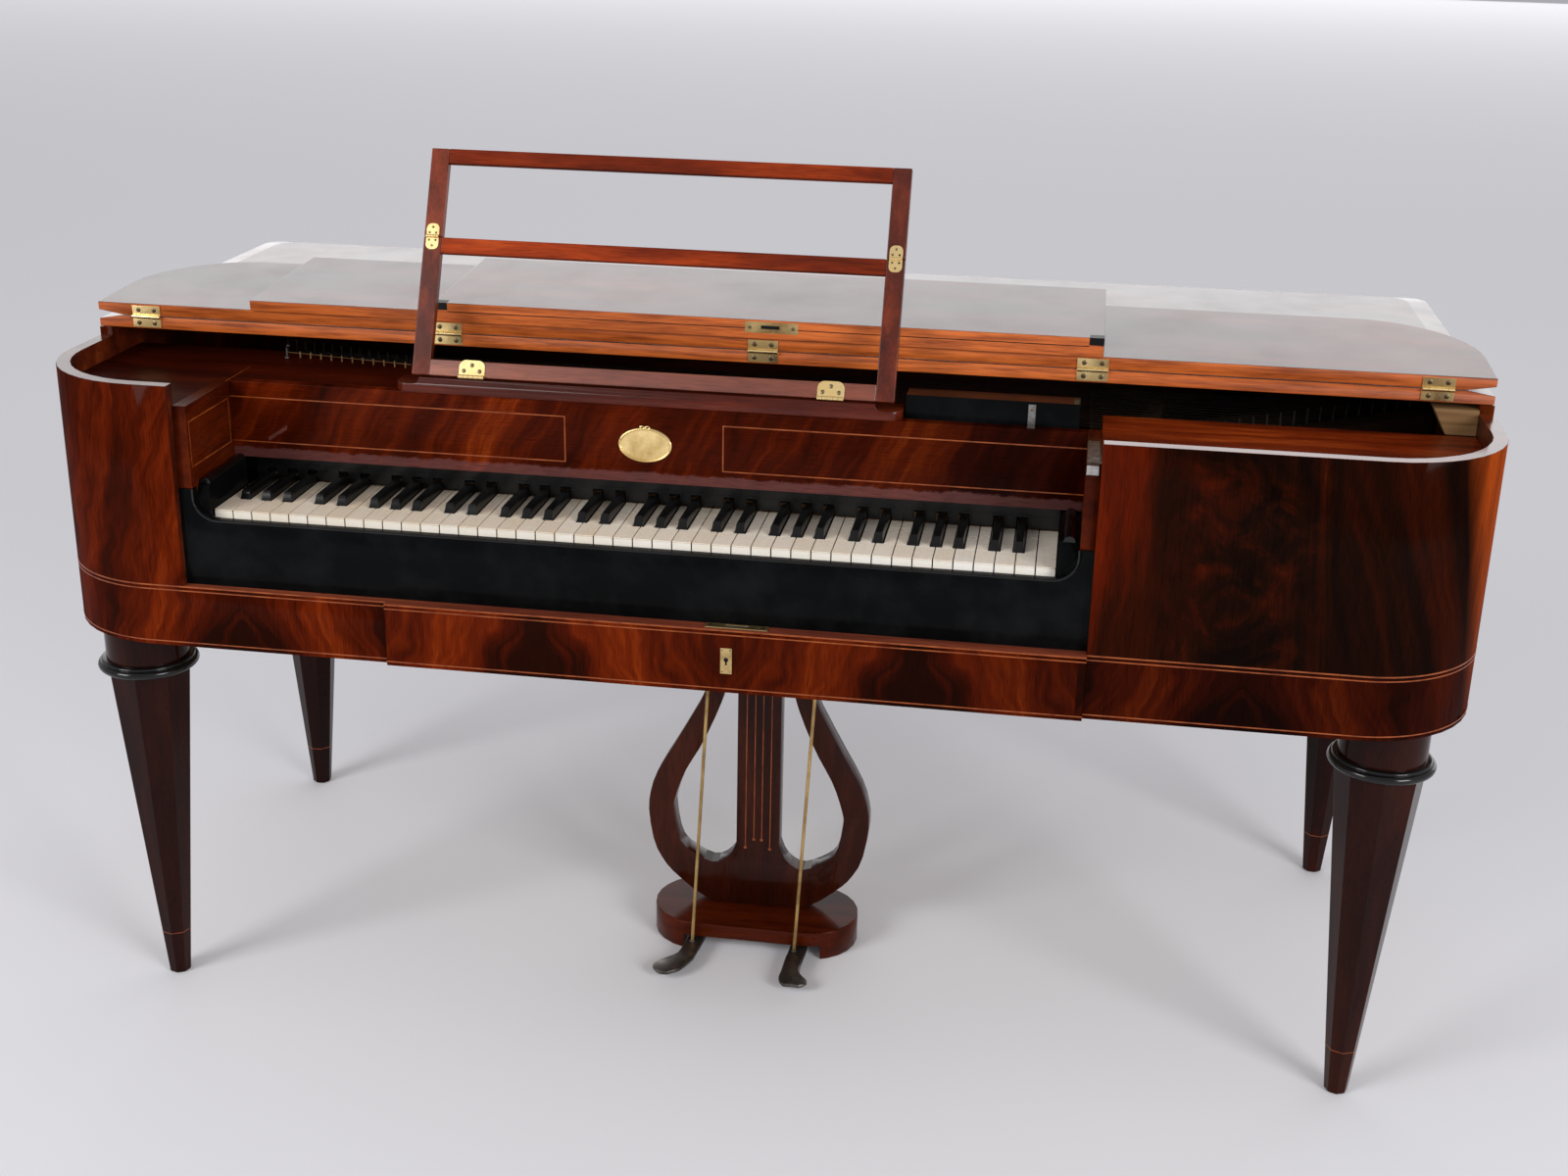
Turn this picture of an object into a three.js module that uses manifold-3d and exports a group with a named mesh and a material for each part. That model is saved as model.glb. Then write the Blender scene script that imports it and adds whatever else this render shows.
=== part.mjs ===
// Square piano of about 1825: mahogany case on four tapered legs, a lyre with two pedals,
// six octaves of keys (F to F), a lid in three leaves and a folding music desk.
// Millimetres. X runs along the length, Y to the back, Z up. The origin lies on the floor
// under the middle of the whole instrument.

import * as THREE from 'three';
import { mergeVertices } from 'three/addons/utils/BufferGeometryUtils.js';
import Module from 'manifold-3d';

const wasm = await Module();
wasm.setup();

// Case
const caseDepth = 752;
const caseBottom = 494;
const caseHeight = 316.5;
const railHeight = 76.5;
const wall = 16;
const cornerRadius = 140;
const breakfrontProud = 8;
const bottomThickness = 30;
const clearance = 0.3;
const overrun = 5;

// Panels beside the keyboard, and what stands between them and the keys
const leftPanel = 187;
const rightPanel = 434;
const cheekThickness = 16;
const blockWidthLeft = 15;
const blockWidthRight = 23.9;
const breakfrontLength = 800;

// Keyboard
const naturals = 43;
const naturalPitch = 22.7;
const keyGap = 0.8;
const keyRise = 133;
const keyThickness = 17;
const keyFront = 32;
const headLength = 43;
const visibleLength = 127;
const keyLength = 300;
const keyDip = 7;
const sharpWidth = 11.4;
const sharpTopWidth = 8.6;
const sharpHeight = 11;
const balancePoint = 165;

// Lid
const lidThickness = 15;
const lidRestHeight = 10.5;
const lidOverRest = 0.5;
const hingeLine = 217;
const lidEndSetback = 1;
const lidBevelWidth = 30;
const lidBevelDrop = 5;
const rearCornerRadius = 28;
const lidGap = 0.5;
const flapTilt = 3.8;

// Legs
const legInsetFront = 95;
const legInsetRear = 70;
const legFromFront = 76;
const legFromBack = 112;

// Lyre
const lyreX = -12;
const lyreFromFront = 312;
const lyreThickness = 26;
const plinthHeight = 40;

// Music desk, its middle measured from the middle of the keyboard
const deskOffset = 8.45;
const baseOffset = 2.45;
const baseLength = 600;
const deskWidth = 569;
const deskFoot = 131.5;
const deskLean = 24;
const frameThickness = 11;

// Worked out from the sizes above
const keyboardWidth = naturals * naturalPitch;
const openingWidth = cheekThickness + blockWidthLeft + keyboardWidth + blockWidthRight + cheekThickness;
const caseLength = leftPanel + openingWidth + rightPanel;
const totalDepth = caseDepth + breakfrontProud;
const frontY = breakfrontProud - totalDepth / 2;
const backY = frontY + caseDepth;
const halfLength = caseLength / 2;
const rimTop = caseBottom + caseHeight;
const railTop = caseBottom + railHeight;
const bedTop = caseBottom + bottomThickness;
const keyTop = bedTop + keyRise;
const openingLeft = leftPanel - halfLength;
const cheekInnerLeft = openingLeft + cheekThickness;
const keyboardLeft = cheekInnerLeft + blockWidthLeft;
const keyboardRight = keyboardLeft + keyboardWidth;
const keyboardMiddle = (keyboardLeft + keyboardRight) / 2;
const baseX = keyboardMiddle + baseOffset;
const baseLeft = baseX - baseLength / 2;
const baseRight = baseX + baseLength / 2;
const cheekInnerRight = keyboardRight + blockWidthRight;
const openingRight = cheekInnerRight + cheekThickness;
const breakfrontLeft = openingRight - breakfrontLength;
const restTop = rimTop + lidRestHeight;
const lidBottom = restTop + lidOverRest;
const lidTop = lidBottom + lidThickness;
const hingeY = frontY + hingeLine;

// Materials
function paint(color, roughness, metalness = 0) {
  return new THREE.MeshStandardMaterial({ color, roughness, metalness });
}
const mahogany = paint(0x5a2110, 0.22);
const ebony = paint(0x0d0c0c, 0.25);
const ivory = paint(0xe9e2d2, 0.4);
const brass = paint(0xb8923e, 0.3, 1);
const iron = paint(0x45403a, 0.45, 0.8);
const spruce = paint(0xb48a5a, 0.6);
const steel = paint(0x9a9a98, 0.35, 1);

// Helpers for shapes
const square = new THREE.Group();
square.name = 'square_piano';

function add(name, geometry, material, parent = square) {
  const mesh = new THREE.Mesh(geometry, material);
  mesh.name = name;
  parent.add(mesh);
  return mesh;
}

function pivot(x, y, z, parent = square) {
  const group = new THREE.Group();
  group.position.set(x, y, z);
  parent.add(group);
  return group;
}

function block(x0, x1, y0, y1, z0, z1) {
  const geometry = new THREE.BoxGeometry(x1 - x0, y1 - y0, z1 - z0);
  geometry.translate((x0 + x1) / 2, (y0 + y1) / 2, (z0 + z1) / 2);
  return geometry;
}

function outline(points) {
  return new THREE.Shape(points.map(([u, v]) => new THREE.Vector2(u, v)));
}

// A shape drawn in plan (x, y), raised from z0 to z1
function raise(shape, z0, z1, curveSegments = 12) {
  const geometry = new THREE.ExtrudeGeometry(shape, { depth: z1 - z0, bevelEnabled: false, curveSegments });
  geometry.translate(0, 0, z0);
  return geometry;
}

// A shape drawn from the front (x, z), running back from y0 to y1
function runBack(shape, y0, y1, curveSegments = 12) {
  const geometry = new THREE.ExtrudeGeometry(shape, { depth: y1 - y0, bevelEnabled: false, curveSegments });
  geometry.rotateX(Math.PI / 2);
  geometry.translate(0, y1, 0);
  return geometry;
}

// A shape drawn from the side (y, z), running along from x0 to x1
function runAlong(shape, x0, x1, curveSegments = 12) {
  const geometry = new THREE.ExtrudeGeometry(shape, { depth: x1 - x0, bevelEnabled: false, curveSegments });
  const turn = new THREE.Matrix4().set(0, 0, 1, x0, 1, 0, 0, 0, 0, 1, 0, 0, 0, 0, 0, 1);
  geometry.applyMatrix4(turn);
  return geometry;
}

// A round profile of [radius, height] pairs, turned about the upright axis
function turned(profile, segments) {
  const geometry = new THREE.LatheGeometry(profile.map(([r, z]) => new THREE.Vector2(r, z)), segments);
  geometry.rotateX(Math.PI / 2);
  return geometry;
}

// A rod of constant radius between two points
function rod(from, to, radius, sides) {
  const start = new THREE.Vector3(...from);
  const end = new THREE.Vector3(...to);
  const along = end.clone().sub(start);
  const geometry = new THREE.CylinderGeometry(radius, radius, along.length(), sides);
  const upright = new THREE.Vector3(0, 1, 0);
  const turn = new THREE.Quaternion().setFromUnitVectors(upright, along.clone().normalize());
  geometry.applyQuaternion(turn);
  const middle = start.add(end).multiplyScalar(0.5);
  geometry.translate(middle.x, middle.y, middle.z);
  return geometry;
}

// Rings of points with the same count, skinned and closed at both ends
function loft(rings) {
  const count = rings[0].length;
  const positions = [];
  const indices = [];
  for (const ring of rings) {
    for (const point of ring) {
      positions.push(...point);
    }
  }
  for (let r = 0; r + 1 < rings.length; r += 1) {
    for (let i = 0; i < count; i += 1) {
      const a = r * count + i;
      const b = r * count + (i + 1) % count;
      indices.push(a, b, b + count, a, b + count, a + count);
    }
  }
  const flat = (ring) => ring.map(([x, y]) => new THREE.Vector2(x, y));
  for (const [a, b, c] of THREE.ShapeUtils.triangulateShape(flat(rings[0]), [])) {
    indices.push(c, b, a);
  }
  const last = (rings.length - 1) * count;
  for (const [a, b, c] of THREE.ShapeUtils.triangulateShape(flat(rings.at(-1)), [])) {
    indices.push(last + a, last + b, last + c);
  }
  const geometry = new THREE.BufferGeometry();
  geometry.setAttribute('position', new THREE.Float32BufferAttribute(positions, 3));
  geometry.setIndex(indices);
  return geometry;
}

function solid(geometry) {
  const bare = geometry.clone();
  bare.deleteAttribute('normal');
  bare.deleteAttribute('uv');
  const merged = mergeVertices(bare, 1e-4);
  const vertProperties = new Float32Array(merged.attributes.position.array);
  const triVerts = new Uint32Array(merged.index.array);
  return new wasm.Manifold(new wasm.Mesh({ numProp: 3, vertProperties, triVerts }));
}

function shapeOf(manifold) {
  const mesh = manifold.getMesh();
  const geometry = new THREE.BufferGeometry();
  geometry.setAttribute('position', new THREE.BufferAttribute(mesh.vertProperties, 3));
  geometry.setIndex(new THREE.BufferAttribute(mesh.triVerts, 1));
  return geometry;
}

function join(first, ...others) {
  return shapeOf(others.reduce((sum, next) => sum.add(solid(next)), solid(first)));
}

function cut(body, ...tools) {
  return shapeOf(tools.reduce((rest, tool) => rest.subtract(solid(tool)), solid(body)));
}

// Points on a quarter turn, from one angle to another in degrees
function arc(cx, cy, radius, from, to, steps) {
  const points = [];
  for (let i = 0; i <= steps; i += 1) {
    const angle = THREE.MathUtils.degToRad(from + (to - from) * i / steps);
    points.push([cx + radius * Math.cos(angle), cy + radius * Math.sin(angle)]);
  }
  return points;
}

// The curved case ends: side wall, rounded front corner and front panel up to the opening,
// with the strip on top that the lid rests on. The left end is drawn and the right mirrored.
const cornerSteps = 10;
function caseEnd(side, panelWidth) {
  const inner = cornerRadius - wall;
  const cx = -halfLength + cornerRadius;
  const cy = frontY + cornerRadius;
  const edge = panelWidth - halfLength;
  const points = [
    [-halfLength, backY],
    ...arc(cx, cy, cornerRadius, 180, 270, cornerSteps),
    [edge, frontY],
    [edge, frontY + wall],
    ...arc(cx, cy, inner, 270, 180, cornerSteps),
    [-halfLength + wall, backY],
  ];
  const placed = points.map(([x, y]) => [side * -x, y]);
  const ordered = side < 0 ? placed : placed.reverse();
  const body = raise(outline(ordered), caseBottom, rimTop);
  const outer = side * halfLength;
  const innerFace = side * (halfLength - wall);
  const low = Math.min(outer, innerFace);
  const high = Math.max(outer, innerFace);
  const strip = block(low, high, hingeY, backY, rimTop - overrun, restTop);
  return join(body, strip);
}
add('case_left_end', caseEnd(-1, leftPanel), mahogany);
add('case_right_end', caseEnd(1, rightPanel), mahogany);

const innerHalf = halfLength - wall;
add('case_back', block(-innerHalf, innerHalf, backY - wall, backY, caseBottom, restTop), mahogany);

// Lock rail with its breakfront, and the pocket for the lock in its top
const lockX = 10;
const lockPlateLength = 72;
const lockPlateWidth = 13;
const lockPlateThickness = 1.2;
const lockPlateFront = -4;
const boltLength = 26;
const boltWidth = 5;
const boltHeight = 18;
const lockY = frontY + lockPlateFront + lockPlateWidth / 2;
const railPlan = outline([
  [openingLeft, frontY],
  [breakfrontLeft, frontY],
  [breakfrontLeft, frontY - breakfrontProud],
  [openingRight, frontY - breakfrontProud],
  [openingRight, frontY + wall],
  [openingLeft, frontY + wall],
]);
const boltPocket = block(
  lockX - boltLength / 2 - clearance, lockX + boltLength / 2 + clearance,
  lockY - boltWidth / 2 - clearance, lockY + boltWidth / 2 + clearance,
  railTop - boltHeight - clearance, railTop + overrun,
);
add('lock_rail', cut(raise(railPlan, caseBottom, railTop), boltPocket), mahogany);

const plate = block(
  lockX - lockPlateLength / 2, lockX + lockPlateLength / 2,
  lockY - lockPlateWidth / 2, lockY + lockPlateWidth / 2,
  railTop, railTop + lockPlateThickness,
);
add('lock_plate', cut(plate, boltPocket), brass);
const boltTop = railTop + lockPlateThickness / 2;
add('lock_bolt', block(
  lockX - boltLength / 2, lockX + boltLength / 2,
  lockY - boltWidth / 2, lockY + boltWidth / 2,
  railTop - boltHeight, boltTop,
), steel);

// Bottom board, with holes for the two pedal rods
const rodRadius = 2.2;
const rodPlay = 1.2;
const rodFromFront = 241;
const rodFootLeft = -88;
const rodFootRight = 50;
const rodLean = 28;
const rodTopAboveBed = 20;
const bottomCorner = cornerRadius - wall - clearance;
const bottomPlan = outline([
  [innerHalf, backY - wall],
  [-innerHalf, backY - wall],
  ...arc(-halfLength + cornerRadius, frontY + cornerRadius, bottomCorner, 180, 270, cornerSteps),
  ...arc(halfLength - cornerRadius, frontY + cornerRadius, bottomCorner, 270, 360, cornerSteps),
]);
const rodShare = (z, top) => z / top;
const rodTop = bedTop + rodTopAboveBed;
function rodX(low, z) {
  return low + rodLean * rodShare(z, rodTop);
}
const boardMiddle = caseBottom + bottomThickness / 2;
for (const low of [rodFootLeft, rodFootRight]) {
  const hole = new THREE.Path();
  hole.absarc(rodX(low, boardMiddle), frontY + rodFromFront, rodRadius + rodPlay, 0, Math.PI * 2, true);
  bottomPlan.holes.push(hole);
}
add('bottom_board', raise(bottomPlan, caseBottom, bedTop, 6), spruce);

// Key slip: the black board in front of the keys, its top curving up at both ends,
// with the key blocks behind it
const slipFront = 10;
const slipThickness = 14;
const slipDrop = 7;
const slipEndRise = 30;
const slipCurve = 28;
const nameboardFront = 132;
const blockRise = 33;
const blockNose = 12;
const slipY = frontY + slipFront;
const slipTop = keyTop - slipDrop;
const slipEndTop = keyTop + slipEndRise;
const blockTop = keyTop + blockRise;
function slipTopLine() {
  const left = arc(cheekInnerLeft + slipCurve, slipTop + slipCurve, slipCurve, 180, 270, 6);
  const right = arc(cheekInnerRight - slipCurve, slipTop + slipCurve, slipCurve, 270, 360, 6);
  return [
    [openingLeft, railTop],
    [openingRight, railTop],
    [openingRight, slipEndTop],
    [cheekInnerRight, slipEndTop],
    ...right.reverse(),
    ...left.reverse(),
    [cheekInnerLeft, slipEndTop],
    [openingLeft, slipEndTop],
  ];
}
function keyBlock(x0, x1) {
  const y0 = slipY + slipThickness;
  const y1 = frontY + nameboardFront;
  const side = outline([
    [y0 - overrun, railTop + clearance],
    [y1, railTop + clearance],
    [y1, blockTop],
    ...arc(y0 + blockNose, blockTop - blockNose, blockNose, 90, 180, 5),
    [y0, slipTop],
    [y0 - overrun, slipTop],
  ]);
  return runAlong(side, x0, x1);
}
const slip = runBack(outline(slipTopLine()), slipY, slipY + slipThickness);
const blockLeft = keyBlock(cheekInnerLeft, keyboardLeft - keyGap);
const blockRight = keyBlock(keyboardRight + keyGap, cheekInnerRight);
add('key_slip', join(slip, blockLeft, blockRight), ebony);

// Cheeks at both ends of the keyboard
const nameboardThickness = 14;
const cheekFront = 12;
const cheekRise = 128;
const cheekTop = keyTop + cheekRise;
const nameboardY = frontY + nameboardFront;
const cheekBack = nameboardY + nameboardThickness;
const cheekDepthUnder = slipY + slipThickness;
function cheek(x0, x1) {
  const side = outline([
    [frontY + cheekFront, slipEndTop],
    [cheekDepthUnder, slipEndTop],
    [cheekDepthUnder, bedTop],
    [cheekBack, bedTop],
    [cheekBack, cheekTop],
    [frontY + cheekFront, cheekTop],
  ]);
  return runAlong(side, x0, x1);
}
add('cheek_left', cheek(openingLeft, cheekInnerLeft), mahogany);
add('cheek_right', cheek(cheekInnerRight, openingRight), mahogany);

// Nameboard with the dark batten behind it over the key tails
const nameboardRise = 35;
const battenFront = 160;
const battenThickness = 8;
const battenOverSharps = 1;
const battenLap = 12;
const nameboardBottom = keyTop + nameboardRise;
const battenBottom = keyTop + sharpHeight + battenOverSharps;
const battenTop = nameboardBottom + battenLap;
const nameboardSide = outline([
  [nameboardY, nameboardBottom],
  [frontY + battenFront, nameboardBottom],
  [frontY + battenFront, battenBottom],
  [frontY + battenFront + battenThickness, battenBottom],
  [frontY + battenFront + battenThickness, battenTop],
  [cheekBack, battenTop],
  [cheekBack, cheekTop],
  [nameboardY, cheekTop],
]);
add('nameboard', runAlong(nameboardSide, cheekInnerLeft, cheekInnerRight), mahogany);

// Bare oval plate on the nameboard
const plateWidth = 64;
const plateHeight = 42;
const plateThickness = 1.6;
const plateOffset = 4.45;
const plateDrop = 47;
const plateX = keyboardMiddle + plateOffset;
const plateZ = cheekTop - plateDrop;
const oval = new THREE.Shape();
oval.absellipse(plateX, plateZ, plateWidth / 2, plateHeight / 2, 0, Math.PI * 2);
add('nameplate', runBack(oval, nameboardY - plateThickness, nameboardY, 14), brass);

// Shelves beside the keyboard, level with the cheeks. The left one runs on behind the nameboard
// as far as the action cover, narrowing to the right.
const shelfThickness = 7;
const shelfDepthLeft = 288;
const shelfDepthRight = 211;
const shelfTailDepth = 18;
const shelfTop = cheekTop;
const coverFromDesk = 2.5;
const coverLeft = baseRight + coverFromDesk;
const shelfCorner = cornerRadius - wall - clearance;
const leftShelfPlan = outline([
  ...arc(-halfLength + cornerRadius, frontY + cornerRadius, shelfCorner, 180, 270, cornerSteps),
  [openingLeft - clearance, frontY + wall + clearance],
  [openingLeft - clearance, cheekBack + clearance],
  [coverLeft - clearance, cheekBack + clearance],
  [coverLeft - clearance, cheekBack + shelfTailDepth],
  [openingLeft, frontY + shelfDepthLeft],
  [-innerHalf + clearance, frontY + shelfDepthLeft],
]);
add('shelf_left', raise(leftShelfPlan, shelfTop - shelfThickness, shelfTop), mahogany);
const rightShelfPlan = outline([
  [openingRight + clearance, frontY + wall + clearance],
  ...arc(halfLength - cornerRadius, frontY + cornerRadius, shelfCorner, 270, 360, cornerSteps),
  [innerHalf - clearance, frontY + shelfDepthRight],
  [openingRight + clearance, frontY + shelfDepthRight],
]);
add('shelf_right', raise(rightShelfPlan, shelfTop - shelfThickness, shelfTop), mahogany);

// Key frame: front, balance and back rails on two side bars
const frontRailAt = 28;
const frontRailWidth = 30;
const frontRailPad = 2;
const balanceWidth = 8;
const balanceFoot = 30;
const balanceFootHeight = 60;
const backRailWidth = 18;
const sideBar = 20;
const sideBarHeight = 24;
const keyY = frontY + keyFront;
const keyBottom = keyTop - keyThickness;
const balanceY = keyY + balancePoint;
const keyEnd = keyY + keyLength;
const frameRight = keyboardRight;
const frontRail = block(
  keyboardLeft, frameRight, keyY + frontRailAt, keyY + frontRailAt + frontRailWidth,
  bedTop, keyBottom - keyDip - frontRailPad,
);
const balanceRail = block(
  keyboardLeft, frameRight, balanceY - balanceWidth / 2, balanceY + balanceWidth / 2,
  bedTop, keyBottom - clearance,
);
const balanceBase = block(
  keyboardLeft, frameRight, balanceY - balanceFoot / 2, balanceY + balanceFoot / 2,
  bedTop, bedTop + balanceFootHeight,
);
const backRail = block(
  keyboardLeft, frameRight, keyEnd - backRailWidth, keyEnd,
  bedTop, keyBottom - clearance,
);
const leftBar = block(
  keyboardLeft, keyboardLeft + sideBar, keyY + frontRailAt, keyEnd, bedTop, bedTop + sideBarHeight,
);
const rightBar = block(
  frameRight - sideBar, frameRight, keyY + frontRailAt, keyEnd, bedTop, bedTop + sideBarHeight,
);
add('key_frame', join(frontRail, balanceRail, balanceBase, backRail, leftBar, rightBar), spruce);

// Keys. Twelve semitones from F upwards: true where the key is a sharp, and how far each
// sharp stands off the line between its two naturals, as a share of the natural pitch.
const sharpFromF = [false, true, false, true, false, true, false, false, true, false, true, false];
const sharpOffsetShares = [0, -0.14, 0, 0, 0, 0.14, 0, 0, -0.1, 0, 0.1, 0];
const letters = ['f', 'fsharp', 'g', 'gsharp', 'a', 'asharp', 'b', 'c', 'csharp', 'd', 'dsharp', 'e'];
const keyCount = 73;
const firstOctaveSteps = 7;
const keys = [];
let naturalIndex = 0;
for (let i = 0; i < keyCount; i += 1) {
  const step = i % sharpFromF.length;
  const octave = 1 + Math.floor((i + sharpFromF.length - firstOctaveSteps) / sharpFromF.length);
  const name = `key_${letters[step]}${octave}`;
  if (sharpFromF[step]) {
    const centre = keyboardLeft + (naturalIndex + sharpOffsetShares[step]) * naturalPitch;
    keys.push({ name, sharp: true, centre });
  } else {
    const left = keyboardLeft + naturalIndex * naturalPitch;
    keys.push({ name, sharp: false, left, right: left + naturalPitch });
    naturalIndex += 1;
  }
}

// A natural is a lever whose head keeps the full width and whose tail leaves room for the sharps
function naturalKey(index) {
  const key = keys[index];
  const before = keys[index - 1];
  const after = keys[index + 1];
  const half = sharpWidth / 2 + keyGap;
  const left = key.left + keyGap / 2;
  const right = key.right - keyGap / 2;
  const tailLeft = before?.sharp ? before.centre + half : left;
  const tailRight = after?.sharp ? after.centre - half : right;
  const headEnd = keyY + headLength;
  const plan = [[left, keyY], [right, keyY]];
  if (tailRight < right) {
    plan.push([right, headEnd], [tailRight, headEnd]);
  }
  plan.push([tailRight, keyEnd], [tailLeft, keyEnd]);
  if (tailLeft > left) {
    plan.push([tailLeft, headEnd], [left, headEnd]);
  }
  return raise(outline(plan), keyBottom, keyTop);
}

// A sharp is a lever below the playing surface with a raised, tapered block on its front part
const sharpLeverDrop = 2;
const sharpSlope = 5;
const sharpGapToHead = 1;
const sharpEndGap = 1;
function sharpKey(index) {
  const { centre } = keys[index];
  const y0 = keyY + headLength + sharpGapToHead;
  const y1 = keyY + visibleLength - sharpEndGap;
  const half = sharpWidth / 2;
  const top = sharpTopWidth / 2;
  const lever = block(centre - half, centre + half, y0, keyEnd, keyBottom, keyTop - sharpLeverDrop);
  const cap = loft([
    [[centre - half, y0], [centre + half, y0], [centre + half, y1], [centre - half, y1]]
      .map(([x, y]) => [x, y, keyTop - sharpLeverDrop - overrun / 2]),
    [[centre - half, y0], [centre + half, y0], [centre + half, y1], [centre - half, y1]]
      .map(([x, y]) => [x, y, keyTop]),
    [[centre - top, y0 + sharpSlope], [centre + top, y0 + sharpSlope], [centre + top, y1], [centre - top, y1]]
      .map(([x, y]) => [x, y, keyTop + sharpHeight]),
  ]);
  return join(lever, cap);
}

function keyShape(index) {
  return keys[index].sharp ? sharpKey(index) : naturalKey(index);
}

// One octave from middle C is made of single keys. The keys below and above it are joined
// into two blocks by a thin batten under the levers behind the balance rail.
const octaveStart = keys.findIndex((key) => key.name === 'key_c4');
const octaveEnd = octaveStart + sharpFromF.length;
const joinBatten = 12;
const joinBattenDepth = 6;
const joinAt = 40;
function keyGroup(from, to) {
  const shapes = [];
  for (let i = from; i < to; i += 1) {
    shapes.push(keyShape(i));
  }
  const spans = keys.slice(from, to).flatMap((key) => {
    return key.sharp ? [key.centre - sharpWidth / 2, key.centre + sharpWidth / 2]
      : [key.left + keyGap, key.right - keyGap];
  });
  const batten = block(
    Math.min(...spans), Math.max(...spans), balanceY + joinAt, balanceY + joinAt + joinBatten,
    keyBottom - joinBattenDepth, keyBottom + overrun,
  );
  return join(batten, ...shapes);
}
add('keys_bass', keyGroup(0, octaveStart), ivory);
for (let i = octaveStart; i < octaveEnd; i += 1) {
  add(keys[i].name, keyShape(i), keys[i].sharp ? ebony : ivory);
}
add('keys_treble', keyGroup(octaveEnd, keyCount), ivory);

// Hammer action: a rail over the key tails with a row of hammers
const hammerRailBack = 20;
const hammerRailDepth = 16;
const hammerRailRise = 21;
const hammerRailHeight = 16;
const hammerLength = 52;
const hammerShank = 5;
const hammerWidth = 7;
const hammerHeadDepth = 11;
const hammerHeadRise = 60;
const hammerPost = 5;
const hammerRailBottom = keyTop + hammerRailRise;
const hammerRailTop = hammerRailBottom + hammerRailHeight;
const hammerHeadTop = hammerRailBottom + hammerHeadRise;
const hammerRailY = keyEnd + hammerRailBack;
const hammerPieces = [];
for (const key of keys) {
  const centre = key.sharp ? key.centre : (key.left + key.right) / 2;
  const y0 = hammerRailY - hammerLength;
  const shankTop = hammerRailBottom + hammerShank;
  const shank = outline([
    [y0, hammerRailBottom],
    [hammerRailY + overrun, hammerRailBottom],
    [hammerRailY + overrun, shankTop],
    [y0 + hammerHeadDepth, shankTop],
    [y0 + hammerHeadDepth, hammerHeadTop],
    [y0, hammerHeadTop],
  ]);
  hammerPieces.push(runAlong(shank, centre - hammerWidth / 2, centre + hammerWidth / 2));
}
const postX = [keyboardLeft - hammerPost, keyboardRight + keyGap];
const hammerPosts = postX.map((x) => {
  return block(x, x + hammerPost, hammerRailY, hammerRailY + hammerRailDepth, bedTop, hammerRailTop);
});
const hammerRail = block(
  postX[0], postX[1] + hammerPost, hammerRailY, hammerRailY + hammerRailDepth,
  hammerRailBottom, hammerRailTop,
);
add('hammer_action', join(hammerRail, ...hammerPosts, ...hammerPieces), spruce);

// Black action cover behind the nameboard
const coverFromCheek = 10;
const coverThickness = 32;
const coverGap = 4;
const coverRise = 27;
const coverY = cheekBack + coverGap;
const coverTop = cheekTop + coverRise;
const coverRight = cheekInnerRight - coverFromCheek;
const cover = block(coverLeft, coverRight, coverY, coverY + coverThickness, battenTop, coverTop);
add('action_cover', cover, ebony);

// Soundboard on its belly rail at the right
const bellyInset = 8;
const bellyThickness = 12;
const bellyFront = 190;
const boardRise = 43;
const boardThickness = 6;
const plankFromOpening = 105;
const plankFromWall = 6;
const plankLeftDepth = 250;
const plankRightDepth = 452;
const bellyLeft = openingRight - bellyInset;
const boardHeight = keyTop + boardRise;
const plankFrontLeft = [openingRight + plankFromOpening, plankLeftDepth];
const plankFrontRight = [innerHalf - plankFromWall, plankRightDepth];
const plankWidth = 105;
const plankGap = 8;
const boardBack = backY - wall - clearance;
const belly = block(
  bellyLeft, bellyLeft + bellyThickness, frontY + bellyFront, boardBack,
  bedTop, boardHeight,
);
const boardPlan = outline([
  [bellyLeft, frontY + bellyFront],
  [plankFrontLeft[0] - plankGap, frontY + bellyFront],
  [plankFrontLeft[0] - plankGap, frontY + plankFrontLeft[1] + plankWidth + plankGap],
  [plankFrontRight[0], frontY + plankFrontRight[1] + plankWidth + plankGap],
  [plankFrontRight[0], boardBack],
  [bellyLeft, boardBack],
]);
const boardTop = boardHeight + boardThickness;
const boardSheet = raise(boardPlan, boardHeight - clearance, boardTop);
add('soundboard', join(boardSheet, belly), spruce);

// Wrest plank on two legs, and the places of its row of tuning pins
const plankThickness = 45;
const plankLeg = 30;
const plankBottom = boardHeight;
const plankTop = plankBottom + plankThickness;
const stringCount = 16;
const pinRadius = 2.2;
const pinHeight = 20;
const pinRowInset = 32;
const pinEnd = 24;
const plankPlan = outline([
  [plankFrontLeft[0], frontY + plankFrontLeft[1]],
  [plankFrontRight[0], frontY + plankFrontRight[1]],
  [plankFrontRight[0], frontY + plankFrontRight[1] + plankWidth],
  [plankFrontLeft[0], frontY + plankFrontLeft[1] + plankWidth],
]);
function plankPoint(share, inset) {
  const [x0, y0] = [plankFrontLeft[0] + pinEnd, plankFrontLeft[1]];
  const [x1, y1] = [plankFrontRight[0] - pinEnd, plankFrontRight[1]];
  return [x0 + (x1 - x0) * share, frontY + y0 + (y1 - y0) * share + inset];
}
const tuningPins = [];
for (let i = 0; i < stringCount; i += 1) {
  const [x, y] = plankPoint(i / (stringCount - 1), pinRowInset);
  tuningPins.push(rod([x, y, plankTop + clearance], [x, y, plankTop + pinHeight], pinRadius, 6));
}
const plankLegs = [plankFrontLeft[0], plankFrontRight[0] - plankLeg].map((x) => {
  const y = frontY + (x === plankFrontLeft[0] ? plankFrontLeft[1] + plankLeg : plankFrontRight[1]);
  return block(x, x + plankLeg, y, y + plankLeg, bedTop, plankBottom + overrun);
});
add('wrest_plank', join(raise(plankPlan, plankBottom, plankTop), ...plankLegs), spruce);

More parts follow.
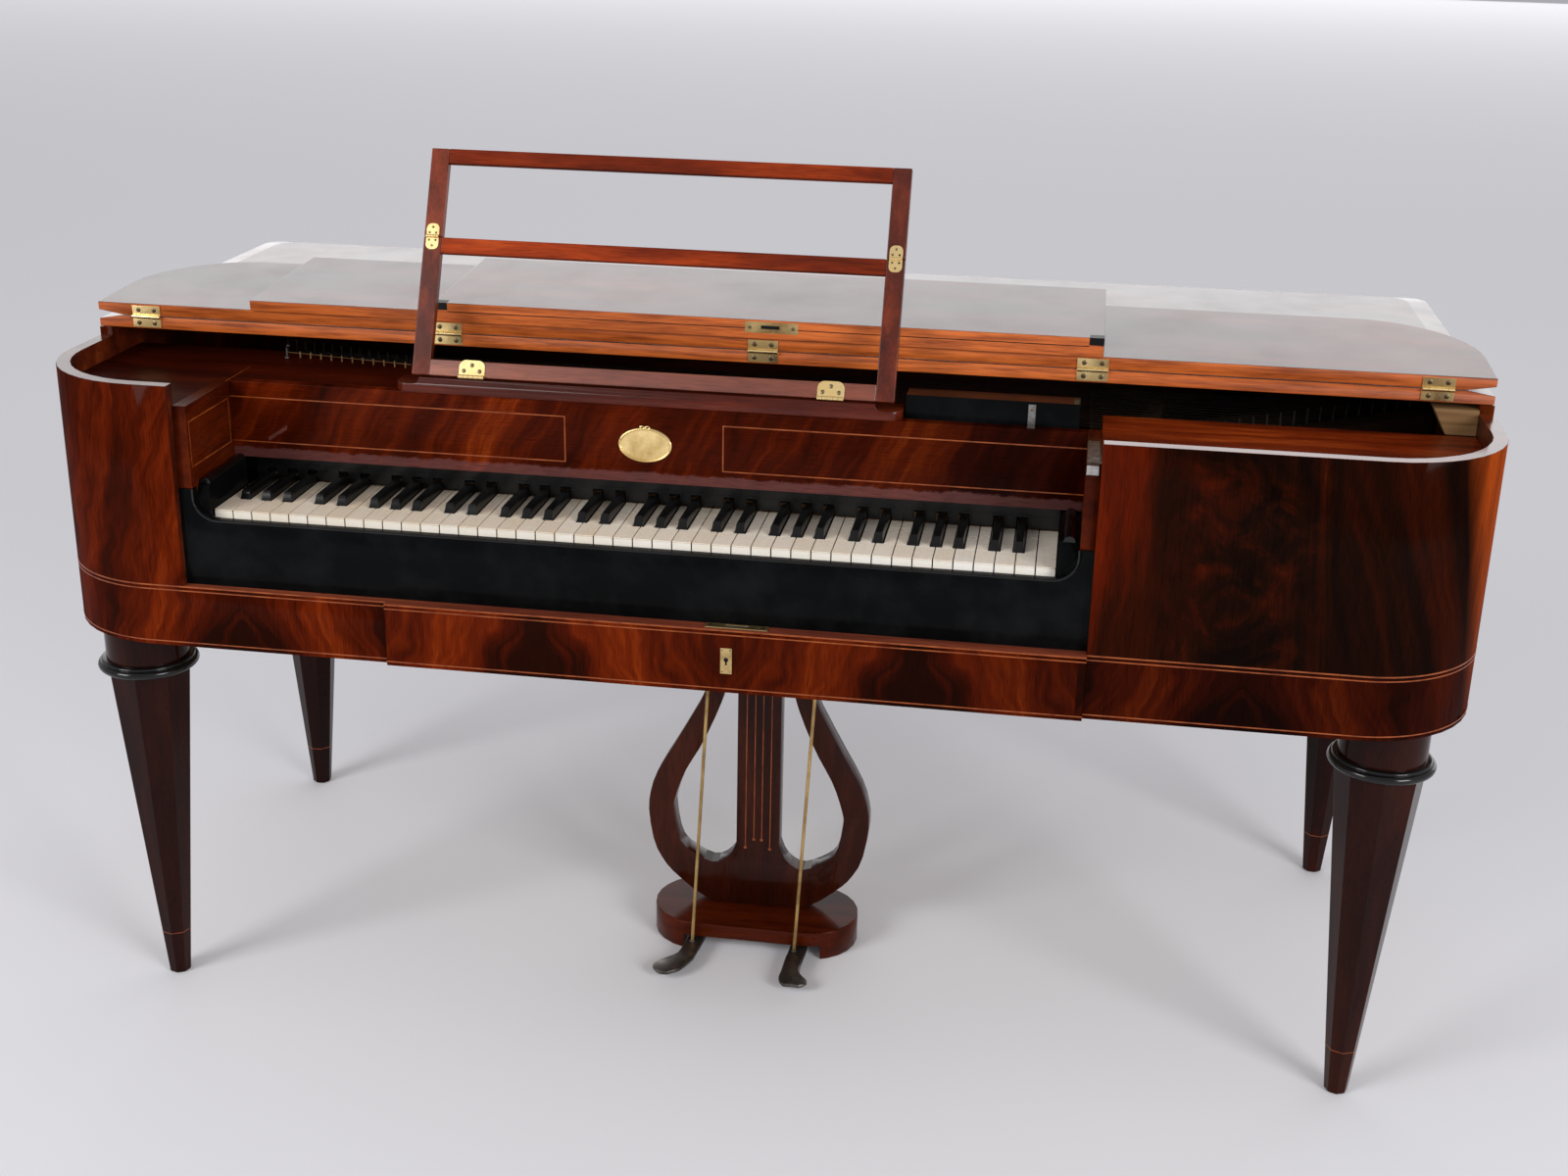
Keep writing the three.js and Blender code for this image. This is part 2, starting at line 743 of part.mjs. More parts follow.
// Hitch rail at the left on two legs, and the places of its row of pins
const hitchFromEnd = 144;
const hitchLength = 230;
const hitchLeftDepth = 420;
const hitchRightDepth = 356;
const hitchFrom = [hitchFromEnd - halfLength, hitchLeftDepth];
const hitchTo = [hitchFrom[0] + hitchLength, hitchRightDepth];
const hitchWidth = 26;
const hitchThickness = 30;
const hitchTop = plankTop;
const hitchBottom = hitchTop - hitchThickness;
const hitchPinHeight = 20;
const hitchPinRadius = 1.5;
const hitchPinInset = 8;
const hitchPlan = outline([
  [hitchFrom[0], frontY + hitchFrom[1]],
  [hitchTo[0], frontY + hitchTo[1]],
  [hitchTo[0], frontY + hitchTo[1] + hitchWidth],
  [hitchFrom[0], frontY + hitchFrom[1] + hitchWidth],
]);
const hitchLegWidth = 20;
const hitchLegs = [hitchFrom, hitchTo].map(([x, y], i) => {
  const left = x - i * hitchLegWidth;
  return block(
    left, left + hitchLegWidth, frontY + y + hitchWidth - overrun,
    frontY + y + hitchWidth + hitchLegWidth, bedTop, hitchBottom + overrun,
  );
});
function hitchPoint(share) {
  const inset = hitchPinInset;
  const x = hitchFrom[0] + inset + (hitchTo[0] - hitchFrom[0] - 2 * inset) * share;
  const y = frontY + hitchFrom[1] + (hitchTo[1] - hitchFrom[1]) * share + hitchWidth / 2;
  return [x, y];
}
const hitchPins = [];
for (let i = 0; i < stringCount; i += 1) {
  const [x, y] = hitchPoint(i / (stringCount - 1));
  hitchPins.push(rod([x, y, hitchTop + clearance], [x, y, hitchTop + hitchPinHeight], hitchPinRadius, 5));
}
add('hitch_rail', join(raise(hitchPlan, hitchBottom, hitchTop), ...hitchLegs), spruce);

// Bridge on the soundboard, with the strings that lie across it from pin to pin
const bridgeWidth = 14;
const stringLift = 3;
const bridgeTop = plankTop + stringLift;
const stringSize = 1.6;
const bridgeFromBelly = 40;
const bridgeSweep = 38;
const bridgeBehindFront = 40;
const bridgeBehindBack = 93;
const bridgeFrom = [bellyLeft + bridgeFromBelly, plankLeftDepth + bridgeBehindFront];
const bridgeTo = [bridgeFrom[0] + bridgeSweep, plankRightDepth + bridgeBehindBack];
const bridgeBow = 18;
const bridgeSteps = 6;
function bridgeEdge(offset) {
  const points = [];
  for (let i = 0; i <= bridgeSteps; i += 1) {
    const share = i / bridgeSteps;
    const x = bridgeFrom[0] + (bridgeTo[0] - bridgeFrom[0]) * share + bridgeBow * Math.sin(Math.PI * share);
    const y = bridgeFrom[1] + (bridgeTo[1] - bridgeFrom[1]) * share;
    points.push([x + offset, frontY + y]);
  }
  return points;
}
const bridgePlan = outline([...bridgeEdge(bridgeWidth / 2), ...bridgeEdge(-bridgeWidth / 2).reverse()]);
const strings = [];
for (let i = 0; i < stringCount; i += 1) {
  const share = i / (stringCount - 1);
  const from = new THREE.Vector3(...hitchPoint(share), bridgeTop);
  const to = new THREE.Vector3(...plankPoint(1 - share, pinRowInset), bridgeTop);
  strings.push(rod(from.toArray(), to.toArray(), stringSize / 2, 4));
}
const strung = join(raise(bridgePlan, boardTop, bridgeTop), ...strings, ...tuningPins, ...hitchPins);
add('bridge_with_strings', strung, spruce);

// Lid. The rear leaf lies on the case; its rear and end edges are bevelled on top.
function lidRing(inset, z) {
  const x = halfLength - lidEndSetback - inset;
  const back = backY - inset;
  const radius = rearCornerRadius;
  return [
    [-x, hingeY],
    [x, hingeY],
    ...arc(x - radius, back - radius, radius, 0, 90, 5),
    ...arc(-x + radius, back - radius, radius, 90, 180, 5),
  ].map(([px, py]) => [px, py, z]);
}
const lidShoulder = lidTop - lidBevelDrop;
const rearLeaf = loft([lidRing(0, lidBottom), lidRing(0, lidShoulder), lidRing(lidBevelWidth, lidTop)]);
add('lid_rear', rearLeaf, mahogany);

// Butt hinges between the leaves: leaf on the rear leaf's edge, barrel at the fold
const lidHingeFromEnd = 64;
const lidHingeCount = 5;
const lidHingeWidth = 36;
const leafThickness = 1.5;
const leafHeight = 12;
const barrelRadius = 2.5;
const lidHingeSpacing = (halfLength - lidHingeFromEnd) / ((lidHingeCount - 1) / 2);
const lidAxisY = hingeY - barrelRadius;
const lidAxisZ = lidTop + lidGap / 2;
function lidHinge(x) {
  const half = lidHingeWidth / 2;
  const leafTop = lidAxisZ - barrelRadius / 2;
  const leaf = block(x - half, x + half, hingeY - leafThickness, hingeY, leafTop - leafHeight, leafTop);
  const barrel = rod([x - half, lidAxisY, lidAxisZ], [x + half, lidAxisY, lidAxisZ], barrelRadius, 12);
  return join(leaf, barrel);
}
for (let i = 0; i < lidHingeCount; i += 1) {
  const x = (i - (lidHingeCount - 1) / 2) * lidHingeSpacing;
  add(`lid_hinge_${i + 1}`, lidHinge(x), brass);
}

// The front leaf lies folded back on the rear leaf, a little raised at its far edge.
// It is drawn from its hinge edge, with the bevel of its show face underneath.
const flapPivot = pivot(0, lidAxisY, lidAxisZ);
flapPivot.rotation.x = THREE.MathUtils.degToRad(flapTilt);
const flapDepth = hingeLine;
const flapNear = barrelRadius + clearance;
const flapFar = barrelRadius + flapDepth;
const flapBottom = lidGap / 2;
function flapRing(inset, z) {
  const x = halfLength - lidEndSetback - inset;
  const radius = cornerRadius - lidEndSetback - inset;
  return [
    [-x, flapNear],
    [x, flapNear],
    ...arc(x - radius, flapFar - inset - radius, radius, 0, 90, cornerSteps),
    ...arc(-x + radius, flapFar - inset - radius, radius, 90, 180, cornerSteps),
  ].map(([px, py]) => [px, py, z]);
}
const flapTop = flapBottom + lidThickness;
add('lid_front', loft([
  flapRing(lidBevelWidth, flapBottom),
  flapRing(0, flapBottom + lidBevelDrop),
  flapRing(0, flapTop),
]), mahogany, flapPivot);

// The fall lies on the front leaf, hinged at its far edge, with the breakfront on top
const fallHeight = 210.9;
const fallThickness = 12.5;
const fallBreakfront = 10.5;
const fallGapLeft = 14;
const fallGapRight = 4;
const fallGap = 0.4;
const fallFromFar = 10;
const fallAxisY = flapFar - fallFromFar;
const fallBottom = flapTop + fallGap;
const fallMid = fallBottom + fallThickness;
const fallEdge = fallMid + fallBreakfront;
const fallFront = outline([
  [openingLeft + fallGapLeft, fallBottom],
  [openingRight - fallGapRight, fallBottom],
  [openingRight - fallGapRight, fallEdge],
  [breakfrontLeft, fallEdge],
  [breakfrontLeft, fallMid],
  [openingLeft + fallGapLeft, fallMid],
]);
add('fall_board', runBack(fallFront, fallAxisY - fallHeight, fallAxisY), mahogany, flapPivot);

// Legs: a round drum, a black collar ring and a long octagonal taper. They screw in, so each
// stands turned by its own angle, in degrees.
const legDrumRadius = 49.6;
const legTaperTop = 47.3;
const legTaperFoot = 12.7;
const collarDrop = 54;
const collarRadius = 54.5;
const collarTube = 5.5;
const collarSteps = 6;
const legSides = 8;
const roundSides = 24;
const collarHeight = caseBottom - collarDrop;
function leg(x, y, turn) {
  const ring = arc(collarRadius, collarHeight, collarTube, -90, 90, collarSteps);
  const drum = turned([
    [0, collarHeight - collarTube],
    ...ring,
    [legDrumRadius, collarHeight + collarTube],
    [legDrumRadius, caseBottom],
    [0, caseBottom],
  ], roundSides);
  const corner = Math.cos(Math.PI / legSides);
  const ends = [legTaperTop / corner, legTaperFoot / corner];
  const taper = new THREE.CylinderGeometry(...ends, collarHeight, legSides);
  taper.rotateX(Math.PI / 2);
  taper.rotateZ(Math.PI / legSides + THREE.MathUtils.degToRad(turn));
  taper.translate(0, 0, collarHeight / 2);
  const geometry = join(drum, taper);
  geometry.translate(x, y, 0);
  return geometry;
}
const legFrontY = frontY + legFromFront;
const legRearY = backY - legFromBack;
add('leg_front_left', leg(-halfLength + legInsetFront, legFrontY, 28), mahogany);
add('leg_front_right', leg(halfLength - legInsetFront, legFrontY, 21), mahogany);
add('leg_rear_left', leg(-halfLength + legInsetRear, legRearY, 5), mahogany);
add('leg_rear_right', leg(halfLength - legInsetRear, legRearY, -8), mahogany);

// Lyre: arms, middle column and foot sawn from one board. The outlines are drawn as shares of
// the greatest half width and of the height from the plinth to the case.
const lyreTop = caseBottom;
const lyreHalf = 149.5;
const lyreRise = lyreTop - plinthHeight;
const columnHalf = 29;
const lyreCurveSteps = 26;
const windowCurveSteps = 34;
const lyreOuterShares = [
  [0.28, 0], [0.49, 0.013], [0.735, 0.075], [0.856, 0.119], [0.95, 0.181], [1, 0.282], [0.983, 0.352],
  [0.91, 0.425], [0.729, 0.533], [0.492, 0.683], [0.392, 0.8], [0.4, 0.9], [0.535, 1],
];
const columnShare = columnHalf / lyreHalf;
const windowShares = [
  [columnShare, 0.206], [0.254, 0.161], [0.4, 0.132], [0.595, 0.159], [0.716, 0.2], [0.769, 0.291],
  [0.759, 0.335], [0.666, 0.425], [0.495, 0.531], [0.321, 0.678], [0.252, 0.8], [0.25, 0.88],
  [columnShare, 0.92],
];
function lyreCurve(shares, steps) {
  const points = shares.map(([u, v]) => new THREE.Vector2(u * lyreHalf, plinthHeight + v * lyreRise));
  return new THREE.SplineCurve(points).getPoints(steps);
}
function mirrored(points) {
  return points.map((point) => new THREE.Vector2(-point.x, point.y)).reverse();
}
function lyreOutline() {
  const outer = lyreCurve(lyreOuterShares, lyreCurveSteps);
  const shape = new THREE.Shape([...outer, ...mirrored(outer)]);
  const opening = lyreCurve(windowShares, windowCurveSteps);
  shape.holes.push(new THREE.Path(opening), new THREE.Path(mirrored(opening)));
  return shape;
}
const lyreY = frontY + lyreFromFront;
const lyreShape = runBack(lyreOutline(), lyreY, lyreY + lyreThickness);
lyreShape.translate(lyreX, 0, 0);
add('lyre_frame', lyreShape, mahogany);

// Lyre plinth on the floor, arched underneath for the pedals, with their pivot bar
const plinthLength = 278;
const plinthRadius = 66;
const plinthFromFront = 248;
const archLeft = -101;
const archRight = 84;
const archHeight = 20;
const barRadius = 3;
const pedalAxis = 325;
const pedalAxisZ = 13.5;
const plinthY = frontY + plinthFromFront + plinthRadius;
const plinthPlan = outline([
  ...arc(lyreX + plinthLength / 2 - plinthRadius, plinthY, plinthRadius, -90, 90, 12),
  ...arc(lyreX - plinthLength / 2 + plinthRadius, plinthY, plinthRadius, 90, 270, 12),
]);
const arch = block(
  archLeft, archRight, plinthY - plinthRadius - overrun, plinthY + plinthRadius + overrun,
  -overrun, archHeight,
);
const pivotBar = rod(
  [archLeft - overrun, frontY + pedalAxis, pedalAxisZ], [archRight + overrun, frontY + pedalAxis, pedalAxisZ],
  barRadius, 10,
);
add('lyre_plinth', join(cut(raise(plinthPlan, 0, plinthHeight), arch), pivotBar), mahogany);

// Pedals: flat curved levers with a round toe. Each row holds the share of the length from the
// pivot, and where the left and right edges are there, as shares of the toe's width.
const pedalThickness = 7;
const pedalToeWidth = 38;
const pedalToe = 161;
const pedalRootLeft = -76;
const pedalRootRight = 55;
const pedalBottom = pedalAxisZ - pedalThickness / 2;
const leftPedalShares = [
  [0, -0.263, 0.263],
  [0.422, -0.492, 0.095],
  [0.558, -0.566, 0.037],
  [0.683, -0.653, -0.024],
  [0.739, -0.800, -0.042],
  [0.764, -0.905, -0.068],
  [0.826, -1.158, -0.158],
  [0.882, -1.330, -0.263],
  [0.932, -1.330, -0.368],
  [0.971, -1.220, -0.579],
  [1, -1.050, -0.763],
];
const rightPedalShares = [
  [0, -0.276, 0.276],
  [0.428, -0.295, 0.310],
  [0.627, -0.345, 0.274],
  [0.764, -0.358, 0.262],
  [0.820, -0.363, 0.305],
  [0.869, -0.379, 0.447],
  [0.901, -0.384, 0.560],
  [0.925, -0.371, 0.610],
  [0.956, -0.332, 0.616],
  [0.981, -0.282, 0.537],
  [1, -0.197, 0.395],
];
function pedal(rootX, shares) {
  const y0 = frontY + pedalAxis - barRadius - clearance;
  const y1 = frontY + pedalToe;
  const at = (along, across) => [rootX + pedalToeWidth * across, y0 + (y1 - y0) * along];
  const left = shares.map(([along, across]) => at(along, across));
  const right = shares.map(([along, , across]) => at(along, across));
  return raise(outline([...left, ...right.reverse()]), pedalBottom, pedalBottom + pedalThickness);
}
add('pedal_left', pedal(pedalRootLeft, leftPedalShares), iron);
add('pedal_right', pedal(pedalRootRight, rightPedalShares), iron);

// Pedal rods, from the pedals through the bottom board
const rodBottom = pedalBottom + pedalThickness + clearance;
function pedalRod(low) {
  const y = frontY + rodFromFront;
  return rod([rodX(low, rodBottom), y, rodBottom], [rodX(low, rodTop), y, rodTop], rodRadius, 8);
}
add('pedal_rod_left', pedalRod(rodFootLeft), brass);
add('pedal_rod_right', pedalRod(rodFootRight), brass);

// Music desk base on the nameboard: a board with round ends and a raised strip along its front
const baseDepth = 42;
const baseFront = 130;
const baseThickness = 10.5;
const stripLength = 526;
const stripDepth = 8;
const stripHeight = 18.6;
const stripScoop = 14;
const baseEnd = 16;
const baseY = frontY + baseFront;
const basePlan = outline([
  ...arc(baseLeft + baseEnd, baseY + baseEnd, baseEnd, 180, 270, 6),
  ...arc(baseRight - baseEnd, baseY + baseEnd, baseEnd, 270, 360, 6),
  [baseRight, baseY + baseDepth],
  [baseLeft, baseY + baseDepth],
]);
const stripTop = cheekTop + stripHeight;
const stripLeft = baseX - stripLength / 2;
const stripRight = baseX + stripLength / 2;
const stripShape = outline([
  [stripLeft - stripScoop, cheekTop + baseThickness - clearance],
  [stripRight + stripScoop, cheekTop + baseThickness - clearance],
  ...arc(stripRight + stripScoop, stripTop, stripTop - cheekTop - baseThickness, 270, 180, 5),
  ...arc(stripLeft - stripScoop, stripTop, stripTop - cheekTop - baseThickness, 360, 270, 5),
]);
const strip = runBack(stripShape, baseY, baseY + stripDepth);
add('desk_base', join(raise(basePlan, cheekTop, cheekTop + baseThickness), strip), mahogany);

// Music desk frames in two folding parts, leaning back from the foot hinge
const deskAxisRise = 3.5;
const deskAxisZ = stripTop + deskAxisRise;
const deskX = keyboardMiddle + deskOffset;
const deskPivot = pivot(deskX, frontY + deskFoot, deskAxisZ);
deskPivot.rotation.x = THREE.MathUtils.degToRad(-deskLean);
const deskStandOff = 2.3;
const stile = 21.5;
const bottomRailWidth = 19;
const midRailWidth = 18.5;
const lowerFrameTop = 164;
const deskHeight = 270;
const topRailWidth = 17;
const halfDesk = deskWidth / 2;
const innerDesk = halfDesk - stile;
const lowerFrame = outline([
  [-halfDesk, 0],
  [halfDesk, 0],
  [halfDesk, lowerFrameTop],
  [-halfDesk, lowerFrameTop],
]);
lowerFrame.holes.push(new THREE.Path([
  new THREE.Vector2(-innerDesk, bottomRailWidth),
  new THREE.Vector2(-innerDesk, lowerFrameTop - midRailWidth),
  new THREE.Vector2(innerDesk, lowerFrameTop - midRailWidth),
  new THREE.Vector2(innerDesk, bottomRailWidth),
]));
const deskFace = deskStandOff;
const deskBack = deskStandOff + frameThickness;
add('desk_lower_frame', runBack(lowerFrame, deskFace, deskBack), mahogany, deskPivot);

const upperBottom = lowerFrameTop + 2 * clearance;
const upperFrame = outline([
  [-halfDesk, upperBottom],
  [-innerDesk, upperBottom],
  [-innerDesk, deskHeight - topRailWidth],
  [innerDesk, deskHeight - topRailWidth],
  [innerDesk, upperBottom],
  [halfDesk, upperBottom],
  [halfDesk, deskHeight],
  [-halfDesk, deskHeight],
]);
add('desk_upper_frame', runBack(upperFrame, deskFace, deskBack), mahogany, deskPivot);

// Hinges of the desk: leaves on the front faces and barrels in front of the joints
const footHingeX = 211.5;
const footHingeWidth = 31;
const footLeafHeight = 18;
const midHingeWidth = 17;
const midLeafHeight = 16;
const deskLeaf = 1.2;
const deskBarrel = 1.9;
function deskHinge(x, width, axisHeight, leafFrom, leafTo) {
  const leafBack = deskFace - clearance;
  const leaf = block(x - width / 2, x + width / 2, leafBack - deskLeaf, leafBack, leafFrom, leafTo);
  const barrel = rod([x - width / 2, 0, axisHeight], [x + width / 2, 0, axisHeight], deskBarrel, 10);
  return join(leaf, barrel);
}
const midAxis = lowerFrameTop + clearance;
for (const [name, side] of [['left', -1], ['right', 1]]) {
  const foot = deskHinge(side * footHingeX, footHingeWidth, 0, 0, footLeafHeight);
  add(`desk_foot_hinge_${name}`, foot, brass, deskPivot);
  const x = side * (halfDesk - stile / 2);
  const middle = deskHinge(x, midHingeWidth, midAxis, midAxis - midLeafHeight, midAxis);
  add(`desk_mid_hinge_${name}`, middle, brass, deskPivot);
}

export default square;
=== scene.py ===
import math
from collections import namedtuple

import bmesh
import bpy
from mathutils import Matrix, Vector


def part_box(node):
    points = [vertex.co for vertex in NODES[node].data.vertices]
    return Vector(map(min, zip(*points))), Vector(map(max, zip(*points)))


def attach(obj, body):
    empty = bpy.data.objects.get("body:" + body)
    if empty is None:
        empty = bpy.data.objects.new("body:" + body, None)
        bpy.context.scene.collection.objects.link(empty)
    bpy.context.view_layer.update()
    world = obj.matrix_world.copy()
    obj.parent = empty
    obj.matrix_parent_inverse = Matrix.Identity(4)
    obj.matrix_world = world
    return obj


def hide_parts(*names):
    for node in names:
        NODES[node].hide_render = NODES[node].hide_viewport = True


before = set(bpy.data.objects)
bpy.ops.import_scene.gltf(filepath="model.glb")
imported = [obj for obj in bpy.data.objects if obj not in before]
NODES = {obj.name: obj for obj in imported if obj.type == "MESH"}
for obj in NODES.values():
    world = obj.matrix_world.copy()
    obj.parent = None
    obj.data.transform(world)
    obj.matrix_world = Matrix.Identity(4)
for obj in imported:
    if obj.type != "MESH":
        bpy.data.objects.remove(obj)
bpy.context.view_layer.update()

MM = 0.001

# Driving sizes, in millimetres, in the model's own frame: x to the right, y to the back, z up
CASE_HALF = 834
CASE_FRONT = -372
CASE_BACK = 380
CASE_FOOT = 494
CORNER = 140
RAIL_TOP = 570.5
BREAKFRONT_Y = -380
BREAKFRONT_LEFT = -400
OPENING_LEFT = -647
OPENING_RIGHT = 400
CHEEK = 16
BOARD_LEFT = OPENING_LEFT + CHEEK
BOARD_RIGHT = OPENING_RIGHT - CHEEK
CHEEK_FRONT = -360
CHEEK_TOP = 785
BOARD_FRONT = -240
BOARD_BACK = -226
BOARD_FOOT = 692
STRIP_TOP = 704
NATURALS = 43
PITCH = 22.7
KEYS_LEFT = -616


# Camera: the photograph's viewing angle, for a 1600 x 1200 picture
CAMERA_PLACE = Vector((0.3612, -2.381, 1.3834))
CAMERA_YAW = math.radians(8.44)
CAMERA_PITCH = math.radians(20.53)
CAMERA_ROLL = math.radians(1.2)
SENSOR_WIDTH = 36
LENS = 44.85


def make_camera():
    data = bpy.data.cameras.new("camera")
    data.sensor_width = SENSOR_WIDTH
    data.lens = LENS
    camera = bpy.data.objects.new("camera", data)
    bpy.context.scene.collection.objects.link(camera)
    forward = Vector((
        -math.sin(CAMERA_YAW) * math.cos(CAMERA_PITCH),
        math.cos(CAMERA_YAW) * math.cos(CAMERA_PITCH),
        -math.sin(CAMERA_PITCH),
    ))
    level = Vector((math.cos(CAMERA_YAW), math.sin(CAMERA_YAW), 0))
    upright = level.cross(forward)
    right = level * math.cos(CAMERA_ROLL) + upright * math.sin(CAMERA_ROLL)
    up = upright * math.cos(CAMERA_ROLL) - level * math.sin(CAMERA_ROLL)
    turn = Matrix((right, up, -forward)).transposed().to_4x4()
    camera.matrix_world = Matrix.Translation(CAMERA_PLACE) @ turn
    bpy.context.scene.camera = camera


# Stage: a wide pale floor, a pale world, and softboxes: name, place, target, width and height, and watts
FLOOR_HALF = 30
FLOOR_TONE = (0.74, 0.735, 0.755, 1)
FLOOR_ROUGHNESS = 0.9
FLOOR_SPECULAR = 0.1
WORLD_TONE = (0.86, 0.86, 0.90, 1)
WORLD_STRENGTH = 0.62
SOFTBOXES = (
    ("softbox_left", (-3.4, -3.6, 2.6), (-0.2, 0, 0.5), (2.0, 2.0), 130),
    ("softbox_right", (3.8, -3.6, 2.3), (0.2, 0, 0.5), (2.0, 2.0), 150),
    ("softbox_back", (2, 22, 6.78), (0, 0, 6.78), (46, 13.4), 2900),
)


def make_floor():
    mesh = bpy.data.meshes.new("floor")
    corners = [(x * FLOOR_HALF, y * FLOOR_HALF, 0) for x, y in ((-1, -1), (1, -1), (1, 1), (-1, 1))]
    mesh.from_pydata(corners, [], [(0, 1, 2, 3)])
    floor = bpy.data.objects.new("floor", mesh)
    bpy.context.scene.collection.objects.link(floor)
    paper = bpy.data.materials.new("studio_paper")
    paper.use_nodes = True
    shader = paper.node_tree.nodes["Principled BSDF"]
    shader.inputs["Base Color"].default_value = FLOOR_TONE
    shader.inputs["Roughness"].default_value = FLOOR_ROUGHNESS
    shader.inputs["Specular IOR Level"].default_value = FLOOR_SPECULAR
    mesh.materials.append(paper)


def make_light():
    world = bpy.data.worlds.new("studio")
    world.use_nodes = True
    background = world.node_tree.nodes["Background"]
    background.inputs["Color"].default_value = WORLD_TONE
    background.inputs["Strength"].default_value = WORLD_STRENGTH
    bpy.context.scene.world = world
    for name, place, target, size, power in SOFTBOXES:
        data = bpy.data.lights.new(name, "AREA")
        data.shape = "RECTANGLE"
        data.size, data.size_y = size
        data.energy = power
        light = bpy.data.objects.new(name, data)
        bpy.context.scene.collection.objects.link(light)
        light.location = place
        light.rotation_euler = (Vector(target) - Vector(place)).to_track_quat("-Z", "Y").to_euler()
    bpy.context.scene.view_settings.view_transform = "Standard"


make_camera()
make_floor()
make_light()


# Finishes. Their patterns have places in metres, as the shader reads them, and scales in features per metre.
WHITE = (1, 1, 1)
HALF_WAY = 0.5


class Finish:
    """A material in the making: adds nodes, and links them by the names of their inputs and outputs."""

    def __init__(self, name, colour, roughness, specular=0.5, metallic=0.0):
        self.material = bpy.data.materials.new(name)
        self.material.use_nodes = True
        self.tree = self.material.node_tree
        self.sockets = self.tree.nodes["Principled BSDF"].inputs
        self.place = self.add("ShaderNodeTexCoord").outputs["Object"]
        self.set("Base Color", colour)
        self.set("Roughness", roughness)
        self.set("Specular IOR Level", specular)
        self.set("Metallic", metallic)

    def add(self, kind, inputs=(), **settings):
        node = self.tree.nodes.new(kind)
        for key, value in settings.items():
            setattr(node, key, value)
        for key, value in dict(inputs).items():
            self.feed(node.inputs[key], value)
        return node

    def feed(self, socket, value):
        if isinstance(value, bpy.types.NodeSocket):
            self.tree.links.new(value, socket)
        elif isinstance(value, tuple) and len(value) == 3 and len(socket.default_value) == 4:
            socket.default_value = (*value, 1)
        else:
            socket.default_value = value

    def set(self, name, value):
        self.feed(self.sockets[name], value)

    def math(self, operation, *values):
        return self.add("ShaderNodeMath", dict(enumerate(values)), operation=operation).outputs[0]

    def minus(self, first, second):
        return self.math("SUBTRACT", first, second)

    def product(self, first, second):
        return self.math("MULTIPLY", first, second)

    def line(self, value, slope, start):
        return self.math("MULTIPLY_ADD", value, slope, start)

    def apart(self, first, second):
        return self.math("ABSOLUTE", self.minus(first, second))

    def above(self, value, limit):
        return self.math("GREATER_THAN", value, limit)

    def vary(self, start, noise, amount):
        """Start, and more or less where a noise is over or under its middle."""
        return self.line(self.minus(noise, HALF_WAY), amount, start)

    def vector(self, operation, *values):
        return self.add("ShaderNodeVectorMath", dict(enumerate(values)), operation=operation).outputs[0]

    def split(self, vector):
        return self.add("ShaderNodeSeparateXYZ", {0: vector}).outputs

    def combine(self, x, y, z):
        return self.add("ShaderNodeCombineXYZ", {0: x, 1: y, 2: z}).outputs[0]

    def noise(self, vector, scale, detail=3.0, rough=0.55, distortion=0.0, output="Fac"):
        names = "Vector", "Scale", "Detail", "Roughness", "Distortion"
        inputs = dict(zip(names, (vector, scale, detail, rough, distortion)))
        return self.add("ShaderNodeTexNoise", inputs).outputs[output]

    def mapping(self, vector, scale=WHITE, location=(0, 0, 0)):
        inputs = {"Vector": vector, "Location": location, "Scale": scale}
        return self.add("ShaderNodeMapping", inputs).outputs[0]

    def ramp(self, value, *stops):
        node = self.add("ShaderNodeValToRGB", {"Fac": value})
        ramp = node.color_ramp
        while len(ramp.elements) < len(stops):
            ramp.elements.new(HALF_WAY)
        for element, (position, colour) in zip(ramp.elements, stops):
            element.position = position
            element.color = (*colour, 1)
        return node.outputs["Color"]

    def wood(self, figure, positions, tone):
        """The four browns of mahogany, each times a tone, at their positions on a figure."""
        browns = [tuple(channel * factor for channel, factor in zip(brown, tone)) for brown in MAHOGANY]
        return self.ramp(figure, *zip(positions, browns))

    def span(self, value, low, high, first=0.0, last=1.0):
        """Maps low..high to first..last, held at the ends."""
        inputs = {"Value": value, "From Min": low, "From Max": high, "To Min": first, "To Max": last}
        return self.add("ShaderNodeMapRange", inputs, clamp=True).outputs["Result"]

    def mix(self, amount, first, second, blend="MIX"):
        node = self.add("ShaderNodeMix", data_type="RGBA", blend_type=blend)
        for socket, value in ((node.inputs[0], amount), (node.inputs[6], first), (node.inputs[7], second)):
            self.feed(socket, value)
        return node.outputs[2]

    def times(self, first, second, share=1.0):
        return self.mix(share, first, second, "MULTIPLY")

    def dim(self, colour, share):
        return self.times(colour, self.combine(share, share, share))

    def relief(self, height, strength, distance=0.0005):
        """Ends a finish: a bump on the surface. Gives the material back."""
        inputs = {"Height": height, "Strength": strength, "Distance": distance}
        self.set("Normal", self.add("ShaderNodeBump", inputs).outputs[0])
        return self.material


# How fast the pattern changes across and along the grain, and the pores along it
GRAIN = {"x": (0.10, 1, 1), "y": (1, 0.10, 1), "z": (1, 1, 0.10)}
PORE_SHARE = 0.03
MAHOGANY = (
    (0.016, 0.0035, 0.0016), (0.060, 0.0080, 0.0022),
    (0.135, 0.0200, 0.0045), (0.300, 0.0640, 0.0130),
)
FIGURE_STOPS = (0.20, 0.45, 0.66, 0.90)


